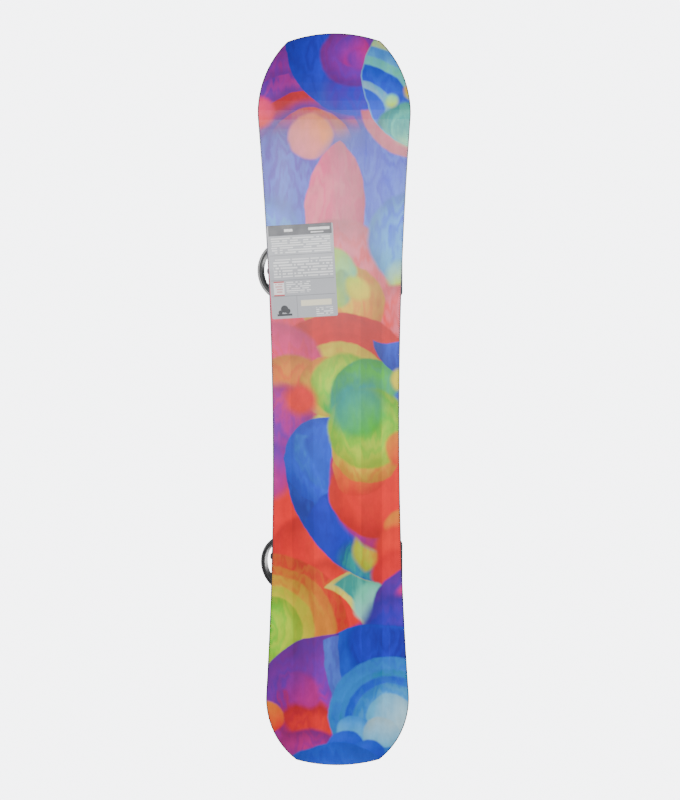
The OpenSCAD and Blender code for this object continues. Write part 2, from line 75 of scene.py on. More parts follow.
class Graph:
    """Builds a material's nodes. An input may be a number, a colour, a vector or a socket."""

    def __init__(self, name):
        self.mat = bpy.data.materials.new(name)
        self.mat.use_nodes = True
        self.tree = self.mat.node_tree
        self.shader = self.tree.nodes["Principled BSDF"]

    def node(self, kind, **settings):
        made = self.tree.nodes.new("ShaderNode" + kind)
        for key, value in settings.items():
            setattr(made, key, value)
        return made

    def put(self, socket, value):
        if isinstance(value, bpy.types.NodeSocket):
            self.tree.links.new(value, socket)
        else:
            socket.default_value = value

    def math(self, op, a, b=0.0, c=0.0):
        n = self.node("Math", operation=op)
        for socket, value in zip(n.inputs, (a, b, c)):
            self.put(socket, value)
        return n.outputs[0]

    def times(self, a, *more):
        for b in more:
            a = self.math("MULTIPLY", a, b)
        return a

    def vector(self, op, a, b=(0, 0, 0), scale=None):
        n = self.node("VectorMath", operation=op)
        self.put(n.inputs[0], a)
        self.put(n.inputs[1], b)
        if scale is not None:
            self.put(n.inputs["Scale"], scale)
        return n.outputs["Value" if op in ("LENGTH", "DISTANCE", "DOT_PRODUCT") else "Vector"]

    def remap(self, value, a, b, c=0.0, d=1.0, smooth=False):
        kind = "SMOOTHSTEP" if smooth else "LINEAR"
        n = self.node("MapRange", interpolation_type=kind, clamp=not smooth)
        for socket, v in zip(n.inputs, (value, a, b, c, d)):
            self.put(socket, v)
        return n.outputs["Result"]

    def between(self, value, low, high, soft, smooth=False):
        """1 from low to high and 0 outside, with soft edges."""
        return self.times(self.remap(value, low - soft, low + soft, smooth=smooth),
                          self.under(value, high, soft, smooth))

    def under(self, value, limit, soft, smooth=False):
        """1 where the value is under the limit and 0 above it, with a soft edge."""
        return self.remap(value, limit - soft, limit + soft, 1.0, 0.0, smooth)

    def mix(self, factor, a, b):
        n = self.node("Mix", data_type="RGBA")
        self.put(n.inputs["Factor"], factor)
        self.put(n.inputs[6], a)
        self.put(n.inputs[7], b)
        return n.outputs[2]

    def tint(self, value, low, high, a, code, most=1.0):
        """From a, a screen colour or a socket, towards a screen colour as the value goes from low to high."""
        start = rgb(a) if isinstance(a, str) else a
        return self.mix(self.remap(value, low, high, 0.0, most), start, rgb(code))

    def noise(self, scale, detail=2.0, rough=0.5, where=None, stretch=None):
        n = self.node("TexNoise")
        self.put(n.inputs["Scale"], scale)
        self.put(n.inputs["Detail"], detail)
        self.put(n.inputs["Roughness"], rough)
        where = where or self.place()
        if stretch:
            where = self.vector("MULTIPLY", where, stretch)
        self.put(n.inputs["Vector"], where)
        return n.outputs["Fac"]

    def place(self):
        if not hasattr(self, "_place"):
            self._place = self.node("TexCoord").outputs["Object"]
        return self._place

    def split(self, where):
        n = self.node("SeparateXYZ")
        self.put(n.inputs[0], where)
        return n.outputs

    def drifted(self, scale, detail, reach):
        """The place on the board seen from above, and the same with a watery drift of the given reach."""
        flat = self.vector("MULTIPLY", self.place(), (1, 1, 0))
        n = self.node("TexNoise")
        self.put(n.inputs["Scale"], scale)
        self.put(n.inputs["Detail"], detail)
        self.put(n.inputs["Vector"], flat)
        centred = self.vector("SUBTRACT", n.outputs["Color"], (0.5, 0.5, 0.5))
        drift = self.vector("SCALE", centred, scale=reach)
        return flat, self.vector("MULTIPLY", self.vector("ADD", flat, drift), (1, 1, 0))

    def bump(self, height, distance, strength=1.0):
        n = self.node("Bump")
        self.put(n.inputs["Strength"], strength)
        self.put(n.inputs["Distance"], distance)
        self.put(n.inputs["Height"], height)
        previous = self.shader.inputs["Normal"]
        if previous.is_linked:
            self.put(n.inputs["Normal"], previous.links[0].from_socket)
        self.put(previous, n.outputs[0])

    def set(self, **values):
        for key, value in values.items():
            self.put(self.shader.inputs[key.replace("_", " ").title().replace("Ior", "IOR")], value)


# ---- base artwork: swirls bounded by circles

NAVY, ROYAL, BLUE, AZURE = "232c8c", "2a45bb", "2c68dc", "3a92e4"
SKY, ICE, PERI = "86c3ec", "bfd9e2", "6f86e0"
INDIGO, VIOLET, PURPLE, PLUM = "3327a8", "5230a4", "6d33a0", "7c2f86"
MAGENTA, ROSE, PINK = "b2357f", "dd5f86", "f08f9c"
CRIMSON, RED, CORAL, SALMON = "bd2f4d", "dc3f35", "f25f50", "ff9c7e"
ORANGE, AMBER, YELLOW, CREAM = "f2622c", "f79c3c", "f4d84c", "f6ecaa"
LIME, GREEN, TEAL, MINT = "c3d94c", "6cc05c", "2f9693", "8fdcc0"


def ink(code):
    """A printed colour, deeper and purer than it looks under bright light."""
    purity, darkest, lightest = 1.5, 0.004, 0.95
    colour = rgb(code)[:3]
    grey = 0.3 * colour[0] + 0.5 * colour[1] + 0.2 * colour[2]
    return tuple(min(lightest, max(darkest, grey + purity * (c - grey))) for c in colour) + (1,)


def disc(x, y, r, a, b, way, soft, within=(), without=()):
    """One layer: a circle in metres, whose colour goes from a to b in the direction way. Its edge is 2 soft
    wide, and it is cut to the circles in within and away from those in without."""
    return {"in": [(x, y, r), *within], "out": without, "a": a, "b": b, "way": way, "soft": soft}


def nose_art():
    """Shells and a ball on the heel side, an S-shaped band through the middle and fans on the toe side."""
    cove = (0.63, 0.19, 0.137)
    layers = [disc(0.6, -0.12, 0.3, MAGENTA, PURPLE, (0.3, -1), 0.02)]
    shells = ((0.172, MAGENTA, PURPLE), (0.138, ROSE, PURPLE), (0.106, CORAL, CRIMSON),
              (0.08, SALMON, CORAL))
    for k, (radius, a, b) in enumerate(shells):
        x, y = 0.512 - 0.006 * k, -0.068 + 0.008 * k
        layers.append(disc(x, y, radius + 0.011, PURPLE, PLUM, (-0.2, -1), 0.012))
        layers.append(disc(x, y, radius, a, b, (0.1, -1), 0.0015))
    layers += [
        disc(0.405, -0.075, 0.15, PERI, VIOLET, (1, 0.1), 0.03),
        disc(0.566, -0.142, 0.03, ROSE, CORAL, (-1, 0), 0.006),
        disc(0.52, -0.045, 0.042, SALMON, PINK, (-0.6, -0.7), 0.004),
        disc(0.41, 0.11, 0.15, ROYAL, PERI, (-1, 0.2), 0.02),
        disc(0.4, -0.1, 0.16, PINK, ROSE, (1, -0.6), 0.002, within=[(0.385, 0.1, 0.158)]),
        disc(0.35, -0.13, 0.06, SKY, PERI, (1, 0.5), 0.02),
        disc(0.7, 0.05, 0.142, NAVY, ROYAL, (-0.9, 0.4), 0.0015),
        disc(0.57, 0.06, 0.09, ROYAL, BLUE, (-0.9, 0.4), 0.012, within=[(0.7, 0.05, 0.142)]),
        disc(0.6, 0.04, 0.058, VIOLET, ROYAL, (-0.6, 0.6), 0.014, within=[(0.7, 0.05, 0.142)]),
        disc(0.674, 0.036, 0.062, PURPLE, PLUM, (0.8, -0.4), 0.004),
        disc(0.684, 0.034, 0.032, MAGENTA, PURPLE, (0.5, -0.8), 0.003),
        disc(0.668, 0.048, 0.022, PURPLE, MAGENTA, (0.3, 1), 0.006),
        disc(0.586, 0.155, 0.106, ROSE, PINK, (-1, 0), 0.003, without=[(0.64, 0.045, 0.072)]),
        disc(*cove, TEAL, MINT, (-1, 0.3), 0.0015),
    ]
    rings = ((0.15, MINT, CREAM), (0.136, BLUE, SKY), (0.116, SKY, MINT), (0.1, ROYAL, BLUE),
             (0.066, ICE, SKY), (0.052, ROYAL, BLUE))
    for radius, a, b in rings:
        layers.append(disc(0.56, 0.045, radius, a, b, (-0.4, 1), 0.0025, within=[cove]))
    return layers + [
        disc(0.525, 0.135, 0.058, MINT, TEAL, (1, -0.4), 0.004, within=[cove]),
        disc(0.49, 0.14, 0.034, YELLOW, MINT, (1, 0.4), 0.01, within=[cove]),
        disc(0.588, 0.106, 0.012, LIME, MINT, (1, 0), 0.005, within=[cove]),
        disc(0.604, 0.146, 0.016, AMBER, LIME, (-1, 0), 0.005, within=[cove]),
    ]


def front_art():
    """A warm field with flames, then rainbow arches that open towards the tail."""
    layers = [
        disc(0.25, 0.005, 0.118, CORAL, PINK, (1, 0.2), 0.004),
        disc(0.18, -0.13, 0.17, CORAL, ROSE, (1, -0.5), 0.01),
        disc(0.33, 0.15, 0.088, BLUE, SKY, (-1, 0.1), 0.005),
        disc(0.262, 0.128, 0.03, LIME, SKY, (1, 0), 0.008),
        disc(0.185, 0.125, 0.06, CORAL, PINK, (0.4, 1), 0.006),
        disc(0.205, 0.015, 0.078, YELLOW, AMBER, (-0.6, 0.7), 0.003),
        disc(0.268, -0.01, 0.048, LIME, MINT, (-1, 0.4), 0.004),
        disc(0.236, 0.022, 0.04, TEAL, LIME, (-0.4, -1), 0.005, within=[(0.236, -0.008, 0.042)]),
        disc(0.246, 0.048, 0.03, LIME, YELLOW, (-1, 0.5), 0.006, within=[(0.226, 0.03, 0.035)]),
    ]
    arches = ((0.162, CRIMSON, CORAL), (0.142, CORAL, RED), (0.124, ORANGE, CORAL), (0.106, AMBER, YELLOW),
              (0.088, LIME, YELLOW))
    for radius, a, b in arches:
        layers.append(disc(0.03, 0.005, radius, a, b, (0.6, 0.5), 0.0025))
    return layers + [
        disc(0.07, -0.13, 0.11, CORAL, ROSE, (1, 0.3), 0.006),
        disc(0.045, -0.085, 0.068, ORANGE, AMBER, (0.9, 0.2), 0.004),
        disc(0.052, -0.012, 0.058, YELLOW, AMBER, (1, -0.5), 0.002),
        disc(0.055, 0.012, 0.06, LIME, GREEN, (-0.6, 0.6), 0.004),
        disc(0.03, 0.062, 0.074, GREEN, TEAL, (-0.9, 0.1), 0.003),
        disc(0.155, 0.165, 0.095, BLUE, NAVY, (-1, 0.5), 0.002, without=[(0.235, 0.1, 0.1)]),
        disc(0.062, 0.128, 0.022, YELLOW, LIME, (0.6, 1), 0.006),
        disc(0.015, 0.135, 0.028, VIOLET, BLUE, (1, 0.4), 0.006),
        disc(0.012, 0.048, 0.058, TEAL, GREEN, (-1, 0.8), 0.022),
        disc(-0.015, -0.11, 0.07, MAGENTA, PURPLE, (-1, -0.4), 0.012),
        disc(0.026, -0.068, 0.03, ORANGE, RED, (0.9, 0.4), 0.012),
    ]


def middle_art():
    """The broad band that sweeps across the waist, round an orange disc."""
    sweep = (-0.08, 0.17, 0.271)
    crest = (-0.445, 0, 0.375)
    eye = (-0.13, 0.138, 0.152)
    return [
        disc(-0.19, -0.12, 0.12, RED, CORAL, (0.3, -1), 0.006),
        disc(-0.11, -0.135, 0.055, PURPLE, MAGENTA, (-1, 0.3), 0.012),
        disc(-0.3, -0.03, 0.11, ORANGE, RED, (1, -0.6), 0.006),
        disc(-0.38, -0.01, 0.095, ORANGE, CORAL, (-1, 0.3), 0.012),
        disc(*sweep, BLUE, NAVY, (-1, 0.45), 0.0015, within=[crest]),
        disc(-0.092, -0.014, 0.086, BLUE, ROYAL, (-0.2, 1), 0.0015, within=[sweep]),
        disc(-0.07, 0, 0.08, AZURE, BLUE, (-1, -0.3), 0.004, within=[sweep, (-0.125, -0.08, 0.086)]),
        disc(-0.01, 0.14, 0.205, ROYAL, BLUE, (-0.6, -0.9), 0.005, within=[sweep, (-0.09, -0.002, 0.07)]),
        disc(-0.17, 0.125, 0.19, NAVY, ROYAL, (-0.5, -1), 0.003, within=[sweep, (-0.26, 0.06, 0.13)]),
        disc(-0.3, 0.075, 0.07, TEAL, NAVY, (0.4, 1), 0.012, within=[sweep, (-0.33, -0.02, 0.095)]),
        disc(*eye, MAGENTA, CRIMSON, (-1, 0.2), 0.003, within=[crest]),
        disc(-0.23, 0.04, 0.05, PURPLE, CRIMSON, (1, 0.6), 0.01, within=[eye]),
        disc(-0.148, 0.085, 0.098, ORANGE, RED, (-0.7, 0.7), 0.003),
        disc(-0.11, 0.045, 0.052, AMBER, ORANGE, (-1, 0.2), 0.002),
        disc(-0.068, 0.06, 0.068, YELLOW, AMBER, (-0.5, 1), 0.002),
        disc(-0.03, 0.062, 0.078, GREEN, LIME, (-1, 0.3), 0.004),
        disc(0.002, 0.045, 0.05, TEAL, GREEN, (-1, 0.6), 0.012),
        disc(-0.07, 0.128, 0.034, ORANGE, AMBER, (1, -0.4), 0.005),
        disc(-0.222, 0.128, 0.034, AMBER, ORANGE, (-1, 0.2), 0.004),
        disc(-0.262, 0.092, 0.06, LIME, AMBER, (0.7, 1), 0.006, within=[(-0.235, 0.02, 0.085)],
             without=[eye]),
        disc(-0.268, 0.122, 0.048, ORANGE, RED, (-1, 0.5), 0.008),
        disc(-0.318, 0.12, 0.052, CRIMSON, RED, (1, -0.2), 0.006, within=[sweep]),
    ]


def waist_art():
    """Crescents on the heel side, a pale wedge and a violet ground on the toe side."""
    sweep = (-0.08, 0.17, 0.271)
    layers = []
    crescents = ((0.152, AMBER, ORANGE), (0.128, ORANGE, AMBER), (0.11, YELLOW, AMBER),
                 (0.088, LIME, YELLOW), (0.066, GREEN, LIME))
    for radius, a, b in crescents:
        layers.append(disc(-0.425, -0.13, radius, a, b, (-0.2, 1), 0.003, without=[sweep]))
    return layers + [
        disc(-0.42, 0.065, 0.118, YELLOW, CREAM, (0.3, 1), 0.002, without=[sweep, (-0.44, -0.05, 0.1)]),
        disc(-0.42, 0.08, 0.12, TEAL, MINT, (-0.6, 0.9), 0.003, without=[sweep, (-0.44, -0.045, 0.108)]),
        disc(-0.375, 0.078, 0.046, ICE, MINT, (1, -0.6), 0.006, without=[sweep]),
        disc(-0.398, 0.17, 0.102, VIOLET, PURPLE, (0.7, 0.6), 0.003),
        disc(-0.362, 0.142, 0.028, MAGENTA, ROSE, (1, 0.3), 0.008),
        disc(-0.43, 0.12, 0.075, INDIGO, VIOLET, (0.8, 0.6), 0.012),
    ]


def tail_art():
    """A dome with petals on the heel side, cut by a slanting band, and cloud rings on the toe side."""
    dome = (-0.595, -0.012, 0.16)
    bay = (-0.59, 0.075, 0.175)
    layers = [
        disc(*bay, ROYAL, NAVY, (0.8, 0.6), 0.002),
        disc(*dome, PURPLE, PLUM, (-0.9, -0.5), 0.002),
        disc(-0.6, -0.05, 0.105, MAGENTA, PURPLE, (0.9, -0.3), 0.01, within=[(-0.59, -0.105, 0.09)]),
        disc(-0.585, -0.01, 0.115, CRIMSON, PURPLE, (1, 0.2), 0.006, within=[(-0.62, -0.09, 0.078)]),
        disc(-0.645, -0.06, 0.075, ORANGE, CRIMSON, (0.7, -0.6), 0.01, within=[(-0.59, -0.05, 0.062)]),
        disc(-0.555, -0.085, 0.05, PLUM, MAGENTA, (-1, 0.4), 0.008, within=[(-0.535, -0.045, 0.05)]),
        disc(-0.7, -0.06, 0.07, MAGENTA, PLUM, (-0.4, 1), 0.006),
        disc(-0.604, -0.14, 0.036, AMBER, CORAL, (-1, 0.2), 0.003),
        disc(-0.455, 0.352, 0.378, VIOLET, PERI, (-0.8, -0.4), 0.002, within=[(-0.6, 0.04, 0.168)]),
        disc(-0.445, 0.39, 0.388, ROYAL, BLUE, (-1, -0.1), 0.002, within=[bay]),
        disc(-0.45, 0.09, 0.07, ROYAL, NAVY, (0.6, 1), 0.01, within=[bay]),
    ]
    clouds = ((0.122, BLUE, AZURE), (0.098, TEAL, AZURE), (0.086, AZURE, BLUE), (0.07, SKY, AZURE),
              (0.046, ICE, SKY))
    for radius, a, b in clouds:
        layers.append(disc(-0.602, 0.102, radius, a, b, (0.4, -1), 0.003))
    return layers + [
        disc(-0.635, 0.03, 0.034, SKY, AZURE, (1, 0.4), 0.003),
        disc(-0.64, 0.085, 0.036, SKY, ICE, (1, 0.2), 0.003),
        disc(-0.672, 0.015, 0.038, BLUE, ROYAL, (-1, 0.3), 0.003),
        disc(-0.69, 0.06, 0.036, BLUE, ROYAL, (-1, 0.3), 0.003),
        disc(-0.79, -0.005, 0.128, ROYAL, BLUE, (1, 0.6), 0.003),
    ]


LARGE = 0.055        # radius from which a circle shows brush strokes and a deeper rim


class Artwork:
    """Paints the layers one over the other. Circles and directions used twice share their nodes."""

    def __init__(self, g, point, streak):
        self.g, self.point = g, point
        self.grain = g.math("MULTIPLY_ADD", streak, 1.2, -0.6)
        self.wobble = g.times(streak, 32.0)
        self.made = {}

    def once(self, key, build):
        if key not in self.made:
            self.made[key] = build()
        return self.made[key]

    def inside(self, circle, soft):
        x, y, r = circle
        return self.once((circle, soft), lambda: self.g.under(self.far(x, y), r, soft, True))

    def far(self, x, y):
        return self.once((x, y), lambda: self.g.vector("DISTANCE", self.point, (x, y, 0)))

    def along(self, way):
        size = hypot(*way)
        unit = (way[0] / size, way[1] / size)
        return unit, self.once(unit, lambda: self.g.vector("DOT_PRODUCT", self.point, (*unit, 0)))

    def mask(self, layer):
        g = self.g
        mask = self.inside(layer["in"][0], layer["soft"])
        for circle in layer["in"][1:]:
            mask = g.times(mask, self.inside(circle, layer["soft"]))
        for circle in layer["out"]:
            mask = g.times(mask, g.math("SUBTRACT", 1.0, self.inside(circle, layer["soft"])))
        return mask

    def paint(self, colour, layer):
        g = self.g
        mask = self.mask(layer)
        x, y, r = layer["in"][0]
        (ux, uy), along = self.along(layer["way"])
        middle = x * ux + y * uy
        slope = 0.55 / r               # of the colour's way from a to b, per metre
        t = g.math("ADD", g.math("MULTIPLY_ADD", along, slope, 0.5 - middle * slope), self.grain)
        # strokes follow the rim of a large circle, and the colour deepens towards it
        far = self.far(x, y)
        if r > LARGE:
            pitch = 0.018 + 0.17 * r
            stroke = g.math("SINE", g.math("MULTIPLY_ADD", far, 2 * pi / pitch, self.wobble))
            t = g.math("MULTIPLY_ADD", stroke, 0.20, t)
        fill = g.mix(t, ink(layer["a"]), ink(layer["b"]))
        deep = tuple(0.30 * c for c in ink(layer["b"])[:3]) + (1,)
        shade = g.remap(far, 0.5 * r, r, 0.0, 0.50 if r > LARGE else 0.20, smooth=True)
        return g.mix(mask, colour, g.mix(shade, fill, deep))


def art_colour(g):
    """The base's printed swirls, with watery edges and streaks of pigment."""
    flat, point = g.drifted(16.0, 3.0, 0.016)
    work = Artwork(g, point, g.noise(9.0, 3.0, 0.55, flat, (1.0, 3.0, 1.0)))
    colour = ink(ROYAL)
    for layer in nose_art() + front_art() + middle_art() + waist_art() + tail_art():
        colour = work.paint(colour, layer)
    return colour


def base_material():
    g = Graph("printed_base")
    colour = art_colour(g)
    x, y, _ = g.split(g.place())
    # the pressed core shows as crisp lengthwise bands, and the stone-ground structure as fine lines
    band = 0.0
    for low, high, depth in ((-0.086, -0.044, 0.17), (-0.004, 0.012, 0.05), (0.048, 0.088, 0.19),
                             (0.104, 0.112, 0.08)):
        band = g.math("MULTIPLY_ADD", g.between(y, low, high, 0.0012, smooth=True), depth, band)
    reach = g.times(g.remap(x, 0.12, 0.34, 1.0, 0.12), g.remap(x, -0.62, -0.46, 0.15, 1.0))
    lanes = g.noise(14.0, 1.0, 0.5, stretch=(0.02, 1.0, 0.0))
    wash = g.noise(26.0, 4.0, 0.62, stretch=(1.0, 1.6, 0.0))
    tone = g.times(g.remap(lanes, 0.35, 0.65, 0.90, 1.06), g.remap(wash, 0.3, 0.7, 0.84, 1.10),
                   g.math("SUBTRACT", 1.0, g.times(band, reach)))
    grind = g.noise(900.0, 2.0, 0.6, stretch=(0.05, 1.0, 1.0))
    scratch = g.remap(g.noise(240.0, 2.0, 0.5, stretch=(0.02, 1.0, 1.0)), 0.66, 0.72)
    g.set(base_color=g.vector("SCALE", colour, scale=tone), coat_weight=0.25, coat_roughness=0.30,
          roughness=g.math("MULTIPLY_ADD", scratch, 0.12, g.remap(lanes, 0.3, 0.7, 0.30, 0.42)))
    g.bump(grind, 0.00002, 0.6)
    return g.mat


# ---- mesh helpers

def linked(name, data):
    made = bpy.data.objects.new(name, data)
    bpy.context.collection.objects.link(made)
    return made


def solid(name, points, faces):
    """A mesh with outward normals."""
    mesh = bpy.data.meshes.new(name)
    mesh.from_pydata([tuple(p) for p in points], [], faces)
    work = bmesh.new()
    work.from_mesh(mesh)
    bmesh.ops.recalc_face_normals(work, faces=work.faces)
    work.to_mesh(mesh)
    work.free()
    return mesh


def make(name, points, faces, material, body, uvs=None, sharp=40):
    """A piece riding on a body, smooth but for edges sharper than the given angle."""
    mesh = solid(name, points, faces)
    if uvs:
        layer = mesh.uv_layers.new(name="weave")
        for loop in mesh.loops:
            layer.data[loop.index].uv = uvs[loop.vertex_index]
    mesh.materials.append(material)
    mesh.shade_smooth()
    mesh.set_sharp_from_angle(angle=radians(sharp))
    made = linked(name, mesh)
    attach(made, body)
    return made


def turns(n, shift=0.0):
    """n angles evenly round a circle, in radians."""
    return [2 * pi * (i + shift) / n for i in range(n)]


def loft(rings, closed=False):
    """Points and faces of a skin over rings of equal length, capped at both ends, or closed on itself."""
    n = len(rings[0])
    points = [p for ring in rings for p in ring]
    last = (len(rings) - 1) * n
    faces = []
    for j in range(len(rings) - 1):
        for i in range(n):
            k = (i + 1) % n
            faces.append((j * n + i, j * n + k, (j + 1) * n + k, (j + 1) * n + i))
    if closed:
        faces += [(last + i, last + (i + 1) % n, (i + 1) % n, i) for i in range(n)]
    else:
        faces += [tuple(range(n)), tuple(last + i for i in range(n))]
    return points, faces


def two_sided(nx, nz, place):
    """Points and faces of a bent plate. place gives a point for s from -1 to 1, t from 0 to 1 and a side."""
    points = [place(2 * i / nx - 1, j / nz, inner)
              for inner in (False, True) for j in range(nz + 1) for i in range(nx + 1)]
    stride, count = nx + 1, (nx + 1) * (nz + 1)
    faces = []
    for j in range(nz):
        for i in range(nx):
            a = j * stride + i
            faces.append((a, a + 1, a + 1 + stride, a + stride))
            faces.append((count + a, count + a + stride, count + a + stride + 1, count + a + 1))
    rim = list(range(nx)) + [j * stride + nx for j in range(nz)]
    rim += [nz * stride + i for i in range(nx, 0, -1)] + [j * stride for j in range(nz, 0, -1)]
    for k, a in enumerate(rim):
        b = rim[(k + 1) % len(rim)]
        faces.append((a, b, count + b, count + a))
    return points, faces


def rounded(half_x, half_y, radius, steps):
    """Outline of a rounded rectangle about the origin, anticlockwise from its +x +y corner."""
    out = []
    for k, (sx, sy) in enumerate(((1, 1), (-1, 1), (-1, -1), (1, -1))):
        for i in range(steps + 1):
            a = radians(90 * k + 90 * i / steps)
            out.append((sx * (half_x - radius) + radius * cos(a),
                        sy * (half_y - radius) + radius * sin(a)))
    return out


def tube(path, radius, sides, closed=False):
    """Points and faces of a round tube along a path of points."""
    path = [Vector(p) for p in path]
    count = len(path)
    rings = []
    for k, p in enumerate(path):
        ahead = path[(k + 1) % count] if closed or k + 1 < count else p
        behind = path[k - 1] if closed or k > 0 else p
        way = (ahead - behind).normalized()
        across = way.orthogonal().normalized() if k == 0 else (across - way * across.dot(way)).normalized()
        other = way.cross(across)
        rings.append([p + radius * (cos(a) * across + sin(a) * other) for a in turns(sides)])
    return loft(rings, closed)


def merge(parts):
    """One list of points and faces from several."""
    points, faces = [], []
    for p, f in parts:
        start = len(points)
        points += list(p)
        faces += [tuple(i + start for i in face) for face in f]
    return points, faces


def stud(centre, along, up, r_low, r_high, height, sides):
    """A low tapered stud on a surface."""
    across = up.cross(along).normalized()
    levels = ((r_low, 0.0), (r_low * 0.35 + r_high * 0.65, height * 0.8), (r_high * 0.85, height))
    return loft([[centre + up * h + r * (cos(a) * along + sin(a) * across)
                  for a in turns(sides, 0.5)] for r, h in levels])


def smooth(a, b, x):
    t = min(1.0, max(0.0, (x - a) / (b - a)))
    return t * t * (3 - 2 * t)


def bell(x, a, b, c, d):
    """0 before a, 1 from b to c, 0 after d."""
    return smooth(a, b, x) * smooth(d, c, x)


def zigzag(x):
    """0.5 at whole numbers and 0 halfway between them."""
    return abs((x % 1.0) - 0.5)


def bevel(node, width):
    """Rounds a CAD node's edges with a modifier and leaves its mesh alone."""
    rounding = frame["nodes"][node].modifiers.new("rounding", "BEVEL")
    rounding.width = width
    rounding.segments = 2
    rounding.limit_method = "ANGLE"
    rounding.angle_limit = radians(35)


def bake_modifiers(piece):
    """Makes the evaluated mesh the piece's own and drops its modifiers."""
    depsgraph = bpy.context.evaluated_depsgraph_get()
    mesh = bpy.data.meshes.new_from_object(piece.evaluated_get(depsgraph), preserve_all_data_layers=True,
                                           depsgraph=depsgraph)
    piece.modifiers.clear()
    piece.data = mesh


def punch(piece, cutters):
    """Cuts closed shapes out of a piece and keeps the result as its mesh."""
    tool = linked("punch", solid("punch", *merge(cutters)))
    cut = piece.modifiers.new("holes", "BOOLEAN")
    cut.operation = "DIFFERENCE"
    cut.solver = "EXACT"
    cut.object = tool
    bake_modifiers(piece)
    bpy.data.objects.remove(tool)


# ---- materials of bindings and board

def gloss_black():
    """Black coated aluminium: deep gloss with a little orange peel and rubbed patches."""
    g = Graph("gloss_black")
    rub = g.noise(38.0, 5.0, 0.65)
    g.set(base_color=g.tint(rub, 0.62, 0.78, "0d0d0f", "2b2c2f"),
          roughness=g.remap(rub, 0.35, 0.75, 0.10, 0.26), coat_weight=0.8, coat_roughness=0.06)
    g.bump(g.noise(420.0, 2.0), 0.00005, 0.5)
    return g.mat


def moulded(name, code, worn, rough, grain=1400.0, depth=0.00006):
    """Moulded nylon: leathery grain, uneven sheen and paler scuffs."""
    g = Graph(name)
    scuff = g.noise(55.0, 6.0, 0.7)
    colour = g.tint(scuff, 0.60, 0.80, code, worn)
    g.set(base_color=g.tint(g.noise(6.0, 2.0), 0.3, 0.7, colour, worn, 0.35),
          roughness=g.remap(scuff, 0.3, 0.8, rough, rough + 0.16), specular_ior_level=0.45)
    g.bump(g.noise(grain, 3.0, 0.6), depth, 0.7)
    return g.mat


def brushed(name, code, rough):
    g = Graph(name)
    lines = g.noise(60.0, 4.0, 0.65, stretch=(1.0, 30.0, 30.0))
    g.set(base_color=g.tint(g.noise(24.0, 3.0), 0.45, 0.75, code, "55565a"), metallic=1.0,
          roughness=g.remap(lines, 0.3, 0.7, rough, rough + 0.18))
    g.bump(lines, 0.00003, 0.5)
    return g.mat


def foam(name, code):
    """Closed-cell foam: soft, matt and pitted."""
    g = Graph(name)
    cells = g.node("TexVoronoi", feature="F1")
    g.put(cells.inputs["Scale"], 900.0)
    g.put(cells.inputs["Vector"], g.place())
    g.set(base_color=g.tint(g.noise(30.0, 4.0, 0.6), 0.45, 0.8, code, "3d3e42"), roughness=0.86,
          sheen_weight=0.25, sheen_roughness=0.5)
    g.bump(cells.outputs["Distance"], 0.00012, 0.6)
    g.bump(g.noise(160.0, 3.0), 0.0001, 0.5)
    return g.mat


def woven(name, code, thread):
    """Woven nylon on the piece's own weave coordinates, which are in metres."""
    g = Graph(name)
    pitch = 0.0011
    along, across, _ = g.split(g.node("UVMap", uv_map="weave").outputs[0])
    turn = 2 * pi / pitch
    warp = g.math("SINE", g.times(along, turn))
    weft = g.math("SINE", g.times(across, turn))
    cross = g.times(warp, weft)
    height = g.math("ADD", g.times(cross, 0.5), g.times(g.math("ABSOLUTE", warp), 0.3))
    fuzz = g.noise(120.0, 4.0, 0.7)
    tone = g.tint(height, -0.5, 0.8, code, thread)
    g.set(base_color=g.tint(fuzz, 0.45, 0.8, tone, thread, 0.5), roughness=0.82,
          sheen_weight=0.35, sheen_roughness=0.45)
    g.bump(height, 0.00018, 0.8)
    g.bump(fuzz, 0.0001, 0.4)
    return g.mat


def edge_steel():
    g = Graph("edge_steel")
    lines = g.noise(40.0, 3.0, 0.6, stretch=(0.4, 8.0, 60.0))
    rust = g.tint(g.noise(70.0, 5.0, 0.7), 0.64, 0.78, "4a4b50", "5d4a3e")
    g.set(base_color=rust, metallic=0.9,
          roughness=g.remap(lines, 0.3, 0.7, 0.30, 0.5))
    g.bump(lines, 0.00003, 0.5)
    return g.mat


def laminate():
    """Glass fibre in resin, seen only at its edge."""
    g = Graph("laminate")
    strands = g.noise(300.0, 3.0, 0.6, stretch=(1.0, 1.0, 6.0))
    g.set(base_color=g.tint(strands, 0.35, 0.7, "b9ab86", "e3dcc4"), roughness=0.4,
          coat_weight=0.3)
    g.bump(strands, 0.00005, 0.5)
    return g.mat


def wood():
    g = Graph("core_wood")
    grain = g.noise(40.0, 5.0, 0.6, stretch=(0.15, 2.0, 2.0))
    lath = g.math("FLOOR", g.times(g.split(g.place())[1], 55.0))
    tint = g.math("FRACT", g.times(g.math("SINE", g.times(lath, 12.9)), 43.7))
    colour = g.mix(grain, rgb("8f6a42"), rgb("caa472"))
    g.set(base_color=g.mix(g.times(tint, 0.5), colour, rgb("e0c79c")), roughness=0.6)
    g.bump(grain, 0.0001, 0.5)
    return g.mat


